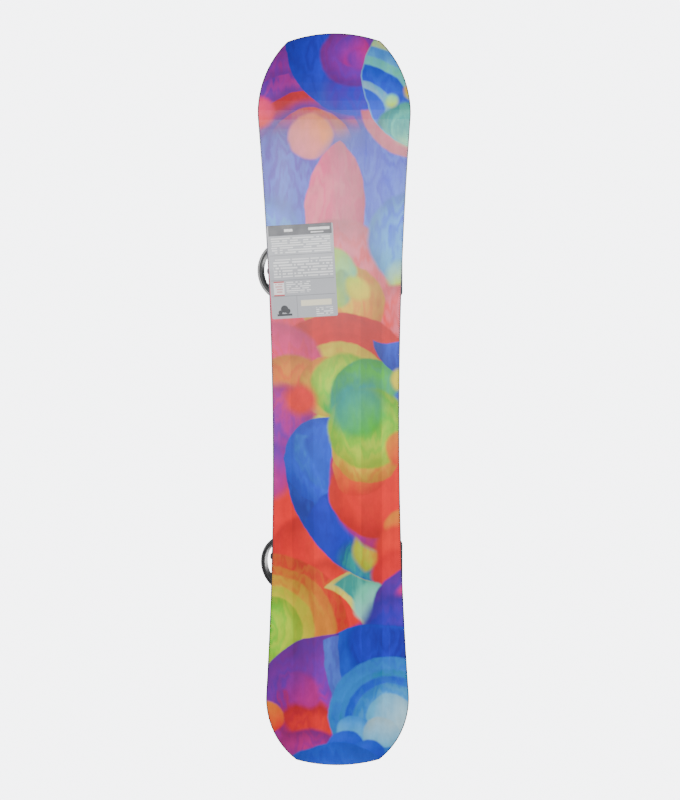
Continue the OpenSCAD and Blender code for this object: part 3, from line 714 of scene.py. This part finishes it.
def top_material():
    """Satin topsheet: dark violet field with broad arcs at the tips, a fine grain and light scratches."""
    g = Graph("topsheet_print")
    _, point = g.drifted(9.0, 2.0, 0.02)
    colour = g.tint(g.split(g.place())[0], -0.7, 0.7, "191a3c", "2a1740")
    rings = ((0.62, -0.1, 0.3, "3b1f63", "241a52"), (0.66, -0.06, 0.225, "6b2566", "3a1d5e"),
             (0.68, -0.02, 0.165, "b03a5a", "6f2767"), (0.7, 0.02, 0.11, "e0703f", "b23e58"),
             (0.72, 0.04, 0.06, "f0b552", "e0703f"), (0.52, 0.17, 0.12, "1f5f8f", "223a86"),
             (0.55, 0.18, 0.075, "2f9a9a", "1f5f8f"), (0.02, 0.16, 0.19, "20306f", "2a1f5c"),
             (0, 0.17, 0.13, "28509a", "20306f"), (-0.03, -0.18, 0.15, "4a1f5f", "2a1744"),
             (-0.04, -0.18, 0.095, "8a2f60", "4a1f5f"),
             (-0.62, 0.1, 0.3, "1c3a78", "22245c"), (-0.65, 0.07, 0.225, "22659a", "1f4488"),
             (-0.68, 0.03, 0.16, "2f9a92", "226a9c"), (-0.7, -0.01, 0.105, "7cbf6a", "2f9a92"),
             (-0.72, -0.03, 0.055, "e2d35a", "7cbf6a"), (-0.52, -0.16, 0.11, "7a2a68", "3c2064"))
    for cx, cy, r, a, b in rings:
        far = g.vector("DISTANCE", point, (cx, cy, 0))
        t = g.remap(g.vector("DOT_PRODUCT", point, (1 / r, 0, 0)), cx / r - 1, cx / r + 1)
        colour = g.mix(g.under(far, r, 0.002, True), colour, g.mix(t, rgb(a), rgb(b)))
    grain = g.noise(1100.0, 2.0, 0.6)
    scratch = g.noise(16.0, 6.0, 0.75, stretch=(1.0, 14.0, 1.0))
    g.set(base_color=g.tint(scratch, 0.66, 0.74, colour, "8d8fa8", 0.25),
          roughness=g.remap(scratch, 0.3, 0.8, 0.34, 0.52), coat_weight=0.15, coat_roughness=0.3)
    g.bump(grain, 0.00004, 0.6)
    return g.mat


CARD_AT = (0.271, -0.062)
CARD_LEAN = radians(3)
CARD_UP = (cos(CARD_LEAN), -sin(CARD_LEAN))
CARD_ACROSS = (sin(CARD_LEAN), cos(CARD_LEAN))


def card_material():
    """Shop card: charcoal header, grey panels and rows of blank bars, with no lettering."""
    g = Graph("card_print")
    shift = g.vector("SUBTRACT", g.place(), (*CARD_AT, 0))
    # v up the card and u across it, in millimetres
    v, u = (g.vector("DOT_PRODUCT", shift, (way[0] / MM, way[1] / MM, 0)) for way in (CARD_UP, CARD_ACROSS))

    def block(u0, u1, v0, v1):
        return g.times(g.between(u, u0, u1, 0.3), g.between(v, v0, v1, 0.3))

    def bars(u0, u1, v0, v1, row, word, seed):
        """Rows of blank bars, broken at uneven places."""
        line = g.math("DIVIDE", g.math("ADD", v, 200 + seed), row)
        on = g.math("GREATER_THAN", g.math("FRACT", line), 0.45)
        which = g.math("FLOOR", line)
        step = g.math("FLOOR", g.math("DIVIDE", g.math("ADD", u, 300), word))
        key = g.math("SINE", g.math("MULTIPLY_ADD", step, 12.99, g.times(which, 78.2)))
        gap = g.math("GREATER_THAN", g.math("FRACT", g.times(key, 43.76)), 0.22)
        return g.times(on, gap, block(u0, u1, v0, v1))

    colour = g.mix(g.noise(30.0, 2.0), rgb("a9abb0"), rgb("b9bbc0"))
    white, line_grey, red, dark = rgb("f1f1f0"), rgb("6c6e74"), rgb("c23b44"), rgb("2d2f35")
    for mask, tint in (
            (block(-60, 60, 68, 88.5), rgb("45474e")),
            (block(-30, -14, 75, 80), white), (block(16, 56, 76, 81), white), (block(20, 44, 71, 73), white),
            (bars(-56, 56, 34, 66, 4.4, 5.0, 0), white), (block(-60, 60, 31, 31.8), line_grey),
            (bars(-54, 58, -10, 24, 5.4, 3.2, 2), white), (block(-60, 60, -16, -15.2), line_grey),
            (block(-56, -36, -44, -18), rgb("f4efef")),
            (block(-56, -36, -20, -17.4), red), (block(-56, -36, -45, -42.4), red),
            (bars(-53, -39, -40, -22, 5.0, 2.6, 1), rgb("d9a6a6")),
            (bars(-32, 14, -40, -18, 4.0, 4.2, 3), white),
            (block(-60, 60, -46, -45.2), line_grey), (block(-14, -13, -87, -46), rgb("8a8c92")),
            (block(-6, 52, -66, -55), rgb("f7efcf")),
            (bars(22, 54, -86, -70, 4.0, 4.0, 5), white)):
        colour = g.mix(mask, colour, tint)
    # a small dark picture of a rounded blob on a line
    for du, dv, r in ((-38, -70, 7), (-32, -74, 5), (-46, -76, 4)):
        squares = [g.math("POWER", g.math("SUBTRACT", *pair), 2) for pair in ((u, du), (v, dv))]
        far = g.math("SQRT", g.math("ADD", *squares))
        colour = g.mix(g.under(far, r, 0.4), colour, dark)
    colour = g.mix(block(-52, -24, -83, -79), colour, dark)
    g.set(base_color=colour, roughness=g.remap(g.noise(60.0, 3.0), 0.3, 0.7, 0.30, 0.42), coat_weight=0.2)
    g.bump(g.noise(260.0, 3.0), 0.00003, 0.5)
    return g.mat


MATERIALS = {
    "chassis": moulded("chassis_nylon", "0f1012", "26282c", 0.46),
    "disc": moulded("disc_nylon", "191a1d", "34363b", 0.5),
    "ramp": moulded("ramp_nylon", "202226", "3a3c42", 0.55),
    "shell": moulded("shell_nylon", "101114", "2a2c31", 0.36, 900.0, 0.00004),
    "yoke": moulded("yoke_nylon", "2b2d32", "45484f", 0.5),
    "ladder": moulded("ladder_nylon", "141518", "2c2e33", 0.32, 1500.0, 0.00003),
    "tongue": moulded("tongue_nylon", "1a1b1f", "35373c", 0.42),
    "hoop": gloss_black(),
    "steel": brushed("fastener_steel", "b9bbc0", 0.24),
    "buckle": brushed("buckle_metal", "6d7076", 0.34),
    "lever": brushed("lever_metal", "a2a5ab", 0.28),
    "foam": foam("pad_foam", "17181b"),
    "rubber": foam("grip_rubber", "0f1011"),
    "fabric": woven("strap_weave", "15161a", "34363d"),
    "piping": moulded("piping_tape", "26282d", "44474e", 0.6, 2000.0),
    "thread": moulded("thread", "8b8e96", "b4b7bd", 0.7, 3000.0),
    "release": moulded("release_nylon", "23252a", "3f4248", 0.4),
}


def paint(node, material):
    mesh = frame["nodes"][node].data
    mesh.materials.clear()
    mesh.materials.append(material)


# ---- the binding's frame, from the joints

JOINTS = {j["name"]: j for j in frame["joints"]}
HEEL_R = 53.2                      # outer radius of the highback where it wraps the heel, in millimetres
SHELL_T = 3.2
BACK_LOW, BACK_TOP = -8.0, 190.0   # the shell's lower and upper edge, measured up the lean from its pivot


class Strap:
    """The frame of one strap: x across the boot, u up the arch, w along its width, in millimetres."""

    def __init__(self, binding, kind, centre):
        self.kind = kind
        self.name = binding.prefix + kind
        lean = JOINTS[f"{self.name}_open"]["axis"]
        self.centre = centre
        self.origin = Vector(JOINTS[f"{self.name}_swing"]["pos_m"])
        self.w = Vector((0, lean[1], lean[2])) * binding.side
        self.u = Vector((0, self.w.z, -self.w.y))
        self.x = Vector((binding.side, 0, 0))

    def at(self, x, u, w):
        return self.origin + MM * (x * self.x + u * self.u + w * self.w)

    def arch(self, r, angle, w):
        """A point on the arch: 0 degrees is the outer side and 180 the inner side."""
        a = radians(angle)
        return self.at(r * cos(a), self.centre + r * sin(a), w)


class Binding:
    def __init__(self, prefix):
        self.prefix = prefix
        self.side = 1 if prefix == "front_" else -1
        low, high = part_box(prefix + "mounting_disc")
        self.origin = Vector(((low[0] + high[0]) / 2, (low[1] + high[1]) / 2, low[2]))
        self.ankle = Strap(self, "ankle", 24)
        self.toe = Strap(self, "toe", 15)
        self.pivot = Vector(JOINTS[prefix + "highback_fold"]["pos_m"])
        self.up = Vector(JOINTS[prefix + "lean_slide"]["axis"])
        self.ahead = Vector((0, self.up.z, -self.up.y))

    def at(self, x, y, z):
        """A point of the binding's own frame, whose origin is on the topsheet under the disc."""
        return self.origin + MM * Vector((self.side * x, y, z))

    def back(self, x, v, w):
        """A point of the highback's frame: v forward and w up along the lean."""
        return self.pivot + MM * (x * self.side * Vector((1, 0, 0)) + v * self.ahead + w * self.up)

    def piece(self, name, parts, material, body, uvs=None, sharp=40):
        return make(self.prefix + name, *parts, MATERIALS[material], self.prefix + body, uvs, sharp)


# ---- highback

def flare(w):
    """Outer radius of the shell at height w."""
    start = 62
    return HEEL_R + 7 * (max(0.0, w - start) / (BACK_TOP - start)) ** 1.3


def spread(w):
    """Half-angle that the shell wraps round the leg at height w, in degrees."""
    heights, angles = (12, 40, 110, 190), (89, 72, 62, 50)
    if w <= 14:
        return 89.0
    return float(np.mean([np.interp(w + d, heights, angles) for d in np.linspace(-12, 12, 9)]))


def back_point(binding, s, t, low, high, share, depth):
    top = high - 0.19 * (high - low) * abs(s) ** 4
    w = low + t * (top - low)
    a = radians(s * share * spread(w))
    r = flare(w) - depth
    return binding.back(r * sin(a), -r * cos(a), w)


def panel_relief(s, t):
    """How deep the shell's outer face is cut: two long panels with slanted ribs, beside a raised spine."""
    panel = bell(abs(s), 0.16, 0.22, 0.72, 0.80) * bell(t, 0.36, 0.40, 0.90, 0.95)
    return panel * (1.1 - 0.9 * smooth(0.16, 0.07, zigzag(t * 9.0 - abs(s) * 1.6)))


def back_shell(binding):
    def place(s, t, inner):
        depth = SHELL_T if inner else panel_relief(s, t)
        return back_point(binding, s, t, BACK_LOW, BACK_TOP, 1.0, depth)

    shell = binding.piece("highback_shell", two_sided(84, 96, place), "shell", "back", sharp=35)
    window = prism(binding, stadium(0, 21, 30, 58, rounding=9))
    vents = [prism(binding, stadium(side * 20, 128, 58, 11, tilt=side * 8)) for side in (-1, 1)]
    punch(shell, [window, *vents])
    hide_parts(binding.prefix + "highback")


def prism(binding, outline):
    """A cutter through the shell, along the highback's fore-aft axis, from an outline of (x, w) points."""
    return loft([[binding.back(x, v, w) for x, w in outline] for v in (-75.0, -30.0)])


def stadium(cx, cw, length, width, tilt=0.0, rounding=None):
    """A rounded bar's outline, upright before the tilt in degrees. Rounding is the corner radius."""
    r = min(length, width) / 2 if rounding is None else rounding
    c, s = cos(radians(tilt)), sin(radians(tilt))
    return [(cx + x * c - y * s, cw + x * s + y * c) for x, y in rounded(width / 2, length / 2, r, 8)]


def pivot_eyes(binding):
    """The thick round eyes that the highback turns on."""
    section = ((49.9, 4.0), (49.9, 9.0), (50.4, 10.2), (52.6, 10.2), (53.1, 9.4), (53.1, 4.0))
    parts = [loft([[binding.back(side * x, r * cos(a), r * sin(a)) for a in turns(32)]
                   for x, r in section], closed=True) for side in (-1, 1)]
    eyes = binding.piece("highback_eyes", merge(parts), "shell", "back")


def back_pad(binding):
    """The foam lining: crowned, pulled in at its edge, with moulded chevron channels."""
    uvs = []

    def place(s, t, inner):
        uvs.append((s * 0.045, t * 0.12))
        depth = SHELL_T + 0.1
        if inner:
            end = abs(2 * t - 1)
            edge = (1 - abs(s) ** 7) * (1 - end ** 9)
            wave = 1 - 2 * zigzag(t * 8.0 + abs(s) * 1.1)
            channel = smooth(0.22, 0.0, wave) * smooth(0.93, 0.80, abs(s)) * smooth(0.98, 0.93, end)
            spine = smooth(0.10, 0.03, abs(s)) * smooth(0.95, 0.85, end)
            depth += 0.5 + 5.3 * max(0.0, edge) ** 0.5 - 1.8 * max(channel, spine)
        return back_point(binding, s, t, 52.0, 174.0, 0.60, depth)

    pad = binding.piece("highback_lining", two_sided(60, 80, place), "foam", "back", uvs, sharp=60)
    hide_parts(binding.prefix + "highback_pad")


# ---- straps

BAND_START, BAND_END = 29, 157     # the padded bands' ends on the arch, in degrees


def strap_band(strap, half, middle, outer_r, thick, steps, sides, relief):
    """A padded band over the arch, crowned across its width and rounded at its edges. half and middle give
    its half width and its sideways shift at an angle, and relief a change of its surface's height."""
    boxy, domed = 0.45, 0.75           # powers that square its round section, across and up
    rings, uvs = [], []
    for j in range(steps + 1):
        t = j / steps
        angle = BAND_START + (BAND_END - BAND_START) * t
        from_end = min(t, 1 - t) * steps
        pinch = min(1.0, (4 * from_end / 18) ** 0.5 + 0.05) if from_end < 4.5 else 1.0
        ring = []
        for a in turns(sides):
            c, s = cos(a), sin(a)
            across = copysign(abs(c) ** boxy, c)
            lift = copysign(abs(s) ** domed, s)
            w = middle(angle) + across * half(angle) * (0.82 + 0.18 * pinch)
            crown = 0.30 * thick * across * across
            r = outer_r - thick / 2 + lift * (thick / 2 - crown / 2) * pinch + relief(angle, across, lift)
            ring.append(strap.arch(r, angle, w))
            uvs.append((w * MM, r * radians(angle) * MM))
        rings.append(ring)
    return loft(rings), uvs


def ankle_pad(binding):
    strap = binding.ankle

    def half(angle):
        return 13.5 + 17.0 * bell(angle, 34, 72, 112, 150)

    def grooves(angle, across, lift):
        if lift < 0.2:
            return 0.0
        seam = smooth(0.10, 0.0, abs(abs(across) - 0.80))
        wave = 1 - 2 * zigzag(angle / 13.0 + abs(across) * 0.9)
        middle = smooth(0.74, 0.60, abs(across)) * bell(angle, 44, 54, 136, 146)
        return -0.9 * seam - smooth(0.24, 0.04, wave) * middle

    parts, uvs = strap_band(strap, half, lambda a: 0.0, 53.8, 8.4, 110, 40, grooves)
    pad = binding.piece("ankle_cushion", parts, "fabric", "ankle_strap", uvs, sharp=70)
    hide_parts(binding.prefix + "ankle_pad")
    edge = [strap.arch(49.6, a, s * (half(a) + 0.2))
            for s, angles in ((1, range(31, 156, 3)), (-1, range(155, 30, -3))) for a in angles]
    binding.piece("ankle_binding_tape", tube(edge, 1.5 * MM, 8, closed=True), "piping", "ankle_strap")
    stitches(binding, strap, "ankle_stitching", lambda a: half(a) * 0.9)


def stitches(binding, strap, name, side_of):
    """Two rows of thread dashes along the pad's edges."""
    start, end, radius, drop = 34, 153, 53.2, 0.9
    parts = []
    count = int((end - start) / 3.2)
    for side in (-1, 1):
        for k in range(count):
            a0 = start + (end - start) * (k + 0.15) / count
            a1 = start + (end - start) * (k + 0.75) / count
            path = [strap.arch(radius + bulge, a, side * side_of(a))
                    for a, bulge in ((a0, -drop), ((a0 * 3 + a1) / 4, 0.05), ((a0 + a1) / 2, 0.2),
                                     ((a0 + a1 * 3) / 4, 0.05), (a1, -drop))]
            parts.append(tube(path, 0.35 * MM, 6))
    binding.piece(name, merge(parts), "thread", strap.kind + "_strap")


def toe_cap(binding):
    """Two grippy bands that part over the toe, with cross ties between them."""
    strap = binding.toe
    parts, uvs = [], []

    def arc(angle):
        return bell(angle, 40, 66, 118, 146)

    def ridges(angle, across, lift):
        return -0.5 * smooth(0.35, 0.1, zigzag(angle / 4.0)) if lift > 0.3 else 0.0

    for side in (-1, 1):
        band, uv = strap_band(strap, lambda a: 5.6 + 2.0 * arc(a), lambda a: side * (4.5 + 9.5 * arc(a)),
                              53.7, 5.4, 100, 24, ridges)
        parts.append(band)
        uvs += uv
    for angle in (66, 82, 98, 114):
        rings = []
        for j in range(9):
            w = -12 + 24 * j / 8
            r = 50.2 + 1.2 * cos(pi * (j / 8 - 0.5))
            rings.append([strap.arch(r + 1.5 * sin(a), angle + 2.6 * cos(a), w) for a in turns(12)])
            uvs += [(w * MM, angle * MM)] * 12
        parts.append(loft(rings))
    cap = binding.piece("toe_cushion", merge(parts), "rubber", "toe_strap", uvs, sharp=70)
    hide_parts(binding.prefix + "toe_cap")


# half of the link's section: its place across the width and through the thickness, from its lower edge
LINK_EDGE = ((-1, 0.15), (-0.97, 0.03), (-0.6, 0), (0, 0), (0.6, 0), (0.97, 0.03), (1, 0.15))
BEND_START, BEND_END = 13.8, 27.0      # two heights up the link, above the rail, in millimetres; their points are worked out but nothing uses them


def strap_link(binding, strap):
    """The inner end of a strap in one piece, from its eye on the bolt up into the pad, with holes."""
    inner, thick, half = 54.2, 2.5, 11.0
    top = 118.0
    length = strap.centre + radians(180 - top) * (inner + thick / 2)
    steps = 90

    def spot(p, w, depth):
        """A point p millimetres up the strap from its bolt."""
        if p <= strap.centre:
            return strap.at(-(inner + depth), p, w)
        a = 180 - degrees((p - strap.centre) / (inner + thick / 2))
        return strap.arch(inner + depth, a, w)

    def hole(p, r, sides):
        return loft([[spot(p + r * sin(a), r * cos(a), d) for a in turns(sides)]
                     for d in (-2, thick + 2)])

    section = LINK_EDGE + tuple((w, 1 - d) for w, d in reversed(LINK_EDGE))
    rings = []
    for j in range(steps + 1):
        p = -half + 0.15 + (length + half - 0.15) * j / steps
        reach = sqrt(max(0.0, half ** 2 - p ** 2)) if p < 0 else half
        ring = []
        for w, d in section:
            raised = 0.18 if 0.5 < abs(w) < 0.98 and d > 0.5 else 0.0
            ring.append(spot(p, w * max(0.6, reach), d * thick + raised))
        rings.append(ring)
    link = binding.piece(strap.kind + "_link", loft(rings), "tongue", strap.kind + "_hanger", sharp=50)
    holes = [hole(10.0 + 9.0 * k, 2.1, 16) for k in range(int((length - 18) / 9.0))]
    punch(link, [*holes, hole(0, 3.2, 24)])
    link.parent = None
    link.matrix_world = Matrix.Identity(4)
    start, end = (tuple(strap.at(-inner, u, 0)) for u in (BEND_START, BEND_END))
    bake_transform(link)
    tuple(start)
    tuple(end)
    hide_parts(strap.name + "_anchor", strap.name + "_tongue")


# ---- footbeds

def heel_foam(binding):
    """Heel footbed: a foam slab with a rolled edge, cut round the open heel, and rows of soft lugs."""
    z0, z1 = 9.05, 13.0
    half, y0, y1, corner = 46.0, -110.5, -49.0, 10.0
    bite, bite_y = 36.5, -132.0
    outline = []
    for k in range(25):
        x = 33.5 * (2 * k / 24 - 1)
        outline.append((x, max(y0, bite_y + sqrt(max(0.0, bite ** 2 - x * x)))))
    corners = [(x, y + (y0 + y1) / 2) for x, y in rounded(half, (y1 - y0) / 2, corner, 6)]
    outline += corners[-7:] + corners[:-7]
    middle_y = -76.0
    rings = []
    for z, inset in ((z0, 0.4), (z0 + 0.3, 0.0), (z1 - 1.2, 0.0), (z1 - 0.4, 0.35), (z1 - 0.05, 1.1),
                     (z1, 2.2)):
        rings.append([binding.at(x - inset * copysign(min(1, abs(x) / 20), x),
                                 y - inset * copysign(min(1, abs(y - middle_y) / 20), y - middle_y), z)
                      for x, y in outline])
    parts = [loft(rings)]
    across, up = Vector((1, 0, 0)), Vector((0, 0, 1))
    for row in range(9):
        for k in range(-5, 6):
            x, y = k * 7.6 + (row % 2) * 3.8, -104.0 + row * 6.3
            if abs(x) < 41 and hypot(x, y - bite_y) > bite + 4 and y < -53:
                parts.append(stud(binding.at(x, y, z1 - 0.1), across, up, 2.3 * MM, 1.6 * MM, 1.0 * MM, 6))
    bed = binding.piece("heel_footbed", merge(parts), "foam", "chassis", sharp=45)
    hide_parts(binding.prefix + "heel_pad")


def ramp_grip(binding):
    """Rubber bars let into the toe ramp's sloping face."""
    parts = []
    for k in range(5):
        y = 97.5 + 6.4 * k
        z = float(np.interp(y, (70, 96, 114, 129), (11, 12, 15.5, 21)))
        reach = 47.0 if k < 4 else 45.0
        for x0, x1 in ((-reach, -7.5), (7.5, reach)):
            rings = []
            for x, scale in ((x0, 0.55), (x0 + 1.2, 1.0), (x1 - 1.2, 1.0), (x1, 0.55)):
                rings.append([binding.at(x, y + scale * 1.9 * cos(a),
                                         z - 0.3 + scale * 1.3 * max(-0.6, sin(a))) for a in turns(12)])
            parts.append(loft(rings))
    grip = binding.piece("ramp_grip", merge(parts), "rubber", "ramp", sharp=50)


def disc_ribs(binding):
    """A ring of short radial ribs on the disc's face, every sixth one longer."""
    parts = []
    low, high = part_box(binding.prefix + "mounting_disc")
    top = (high[2] - low[2]) / MM
    for k, a in enumerate(turns(72)):
        r0, r1 = (42.0, 46.0) if k % 6 else (39.5, 46.0)
        way, across = Vector((cos(a), sin(a), 0)), Vector((-sin(a), cos(a), 0))
        rings = []
        for r, h in ((r0, 0.05), (r0 + 0.5, 0.35), (r1 - 0.5, 0.35), (r1, 0.05)):
            middle = binding.at(0, 0, top) + way * r * MM
            rings.append([middle + across * s * 0.35 * MM + Vector((0, 0, z * MM))
                          for s, z in ((-1, -0.3), (1, -0.3), (0.7, h), (-0.7, h))])
        parts.append(loft(rings))
    ribs = make(binding.prefix + "disc_ticks", *merge(parts), MATERIALS["disc"], "board", sharp=50)


def dress_binding(prefix):
    binding = Binding(prefix)
    for node, material, width in (
            ("mounting_disc", "disc", 0.5), ("disc_screws", "steel", 0.25), ("baseplate", "chassis", 0.7),
            ("toe_ramp", "ramp", 0.6), ("chassis_bolts", "steel", 0.35), ("heel_hoop", "hoop", 0.9),
            ("lean_yoke", "yoke", 0.6), ("strap_bolts", "steel", 0.35),
            ("ankle_ladder", "ladder", 0.15), ("toe_ladder", "ladder", 0.15),
            ("ankle_buckle", "buckle", 0.4), ("toe_buckle", "buckle", 0.4),
            ("ankle_lever", "lever", 0.5), ("toe_lever", "lever", 0.5),
            ("ankle_release", "release", 0.35), ("toe_release", "release", 0.35)):
        paint(prefix + node, MATERIALS[material])
        bevel(prefix + node, width * MM)
    back_shell(binding)
    pivot_eyes(binding)
    back_pad(binding)
    ankle_pad(binding)
    toe_cap(binding)
    strap_link(binding, binding.ankle)
    strap_link(binding, binding.toe)
    heel_foam(binding)
    ramp_grip(binding)
    disc_ribs(binding)


# ---- board

def edge_teeth():
    """The steel edge's anchor teeth, which show through the base as dark marks along both sides."""
    mesh = frame["nodes"]["base_sheet"].data
    floor = min(v.co.z for v in mesh.vertices)
    rim = sorted({(round(v.co.x, 5), round(abs(v.co.y), 5)) for v in mesh.vertices
                  if v.co.z < floor + 1e-5 and abs(v.co.y) > 0.09})
    xs, ys = [p[0] for p in rim], [p[1] for p in rim]
    parts = []
    reach, pitch, inset = 0.53, 4.2 * MM, 1.6 * MM
    half_x, half_y, sink = 0.75 * MM, 0.55 * MM, 0.05 * MM
    levels = ((floor + 0.3 * MM, 1.0), (floor - sink * 0.6, 1.0), (floor - sink, 0.8))
    for side in (-1, 1):
        for k in range(int(2 * reach / pitch)):
            x = -reach + pitch * k
            y = side * (float(np.interp(x, xs, ys)) - inset)
            parts.append(loft([[(x + half_x * share * cos(a), y + half_y * share * sin(a), z)
                                for a in turns(8)] for z, share in levels]))
    marks = make("edge_teeth", *merge(parts), edge_steel(), "board", sharp=60)


def shop_card():
    """A card with rounded corners that hangs flat on the base, a little over its heel-side edge."""
    outline = [[CARD_AT[k] + v * CARD_UP[k] + u * CARD_ACROSS[k] for k in (0, 1)]
               for u, v in rounded(62.5 * MM, 88.0 * MM, 3.0 * MM, 4)]
    rings = [[(x, y, z) for x, y in outline] for z in (-0.45 * MM, -0.05 * MM)]
    make("shop_card", *loft(rings), card_material(), "board")


def dress_board():
    glass = laminate()
    black = moulded("sidewall_plastic", "121316", "2b2c31", 0.42, 700.0)
    for node, material in (
            ("base_sheet", base_material()), ("topsheet", top_material()), ("steel_edges", edge_steel()),
            ("lower_laminate", glass), ("upper_laminate", glass), ("wood_core", wood()),
            ("sidewalls", black), ("tip_spacers", black), ("threaded_inserts", MATERIALS["steel"])):
        paint(node, material)
    bevel("steel_edges", 0.25 * MM)
    bevel("threaded_inserts", 0.2 * MM)
    shop_card()
    edge_teeth()


# ---- stage, lights and camera

def area_light(name, place, target, size, power):
    lamp = bpy.data.lights.new(name, "AREA")
    lamp.shape = "RECTANGLE"
    lamp.size, lamp.size_y = size
    lamp.energy = power
    made = linked(name, lamp)
    made.location = place
    made.rotation_euler = (Vector(target) - Vector(place)).to_track_quat("-Z", "Y").to_euler()


def build_camera():
    """Below the board and in front of its base, square to it but for a slight tilt, with the nose up."""
    data = bpy.data.cameras.new("camera")
    data.sensor_fit = "VERTICAL"
    data.sensor_height = 36
    data.lens = 54.1
    data.clip_end = 50
    made = linked("camera", data)
    tilt = radians(5.66)
    roll = radians(0.3)
    forward = Vector((-sin(tilt), 0, cos(tilt)))
    up = Vector((cos(tilt), sin(roll), sin(tilt)))
    right = forward.cross(up).normalized()
    up = right.cross(forward).normalized()
    turn = Matrix((right, up, -forward)).transposed()
    place = (0.252, 0.008, -2.289)
    made.matrix_world = Matrix.Translation(place) @ turn.to_4x4()
    bpy.context.scene.camera = made


def build_world():
    """A near-white surround that the camera sees brighter than it lights the board."""
    world = bpy.data.worlds.new("studio")
    world.use_nodes = True
    nodes, links = world.node_tree.nodes, world.node_tree.links
    lit = nodes["Background"]
    seen = nodes.new("ShaderNodeBackground")
    for shade, colour, strength in ((seen, (0.955, 0.965, 1.0, 1), 6.0), (lit, (0.96, 0.97, 1.0, 1), 0.4)):
        shade.inputs["Color"].default_value = colour
        shade.inputs["Strength"].default_value = strength
    path = nodes.new("ShaderNodeLightPath")
    both = nodes.new("ShaderNodeMixShader")
    links.new(path.outputs["Is Camera Ray"], both.inputs["Fac"])
    links.new(lit.outputs[0], both.inputs[1])
    links.new(seen.outputs[0], both.inputs[2])
    links.new(both.outputs[0], nodes["World Output"].inputs["Surface"])
    bpy.context.scene.world = world


def floor_material():
    """Pale paper that is clear from below and fades into the surround far from the board."""
    g = Graph("floor_paper")
    g.set(base_color=(0.86, 0.865, 0.88, 1), roughness=0.85, specular_ior_level=0.2)
    clear = g.node("BsdfTransparent")
    side = g.node("NewGeometry")
    both = g.node("MixShader")
    far = g.remap(g.vector("LENGTH", g.place()), 2.0, 6.0, smooth=True)
    g.put(both.inputs["Fac"], g.math("MAXIMUM", side.outputs["Backfacing"], far))
    g.put(both.inputs[1], g.shader.outputs[0])
    g.put(both.inputs[2], clear.outputs[0])
    g.put(g.tree.nodes["Material Output"].inputs["Surface"], both.outputs[0])
    return g.mat


def build_floor():
    mesh = bpy.data.meshes.new("floor")
    reach = 14.0
    corners = ((-1, -1), (1, -1), (1, 1), (-1, 1))
    mesh.from_pydata([(reach * x, reach * y, 0) for x, y in corners], [], [(0, 1, 2, 3)])
    mesh.materials.append(floor_material())
    floor = linked("floor", mesh)
    floor.location.z = -0.6 * MM       # just under the card
    floor.visible_shadow = floor.visible_diffuse = floor.visible_glossy = False


def build_lamps():
    """A lamp that glares on the base near the nose, two below the board and two above it."""
    area_light("glare", (0.66, -0.05, -2.75), (0.42, 0, 0), (1.4, 0.62), 36)
    for side_y in (-1, 1):
        area_light("under", (0.1, 2.2 * side_y, -1.8), (0, 0, 0), (1.8, 1.2), 40)
    area_light("key", (0.9, -1.7, 2.3), (0, 0, 0), (1.6, 1.2), 160)
    area_light("fill", (-1.2, 1.9, 1.9), (0, 0, 0), (1.8, 1.4), 100)


build_camera()
build_world()
build_floor()
build_lamps()
dress_board()
for foot in ("front_", "rear_"):
    dress_binding(foot)
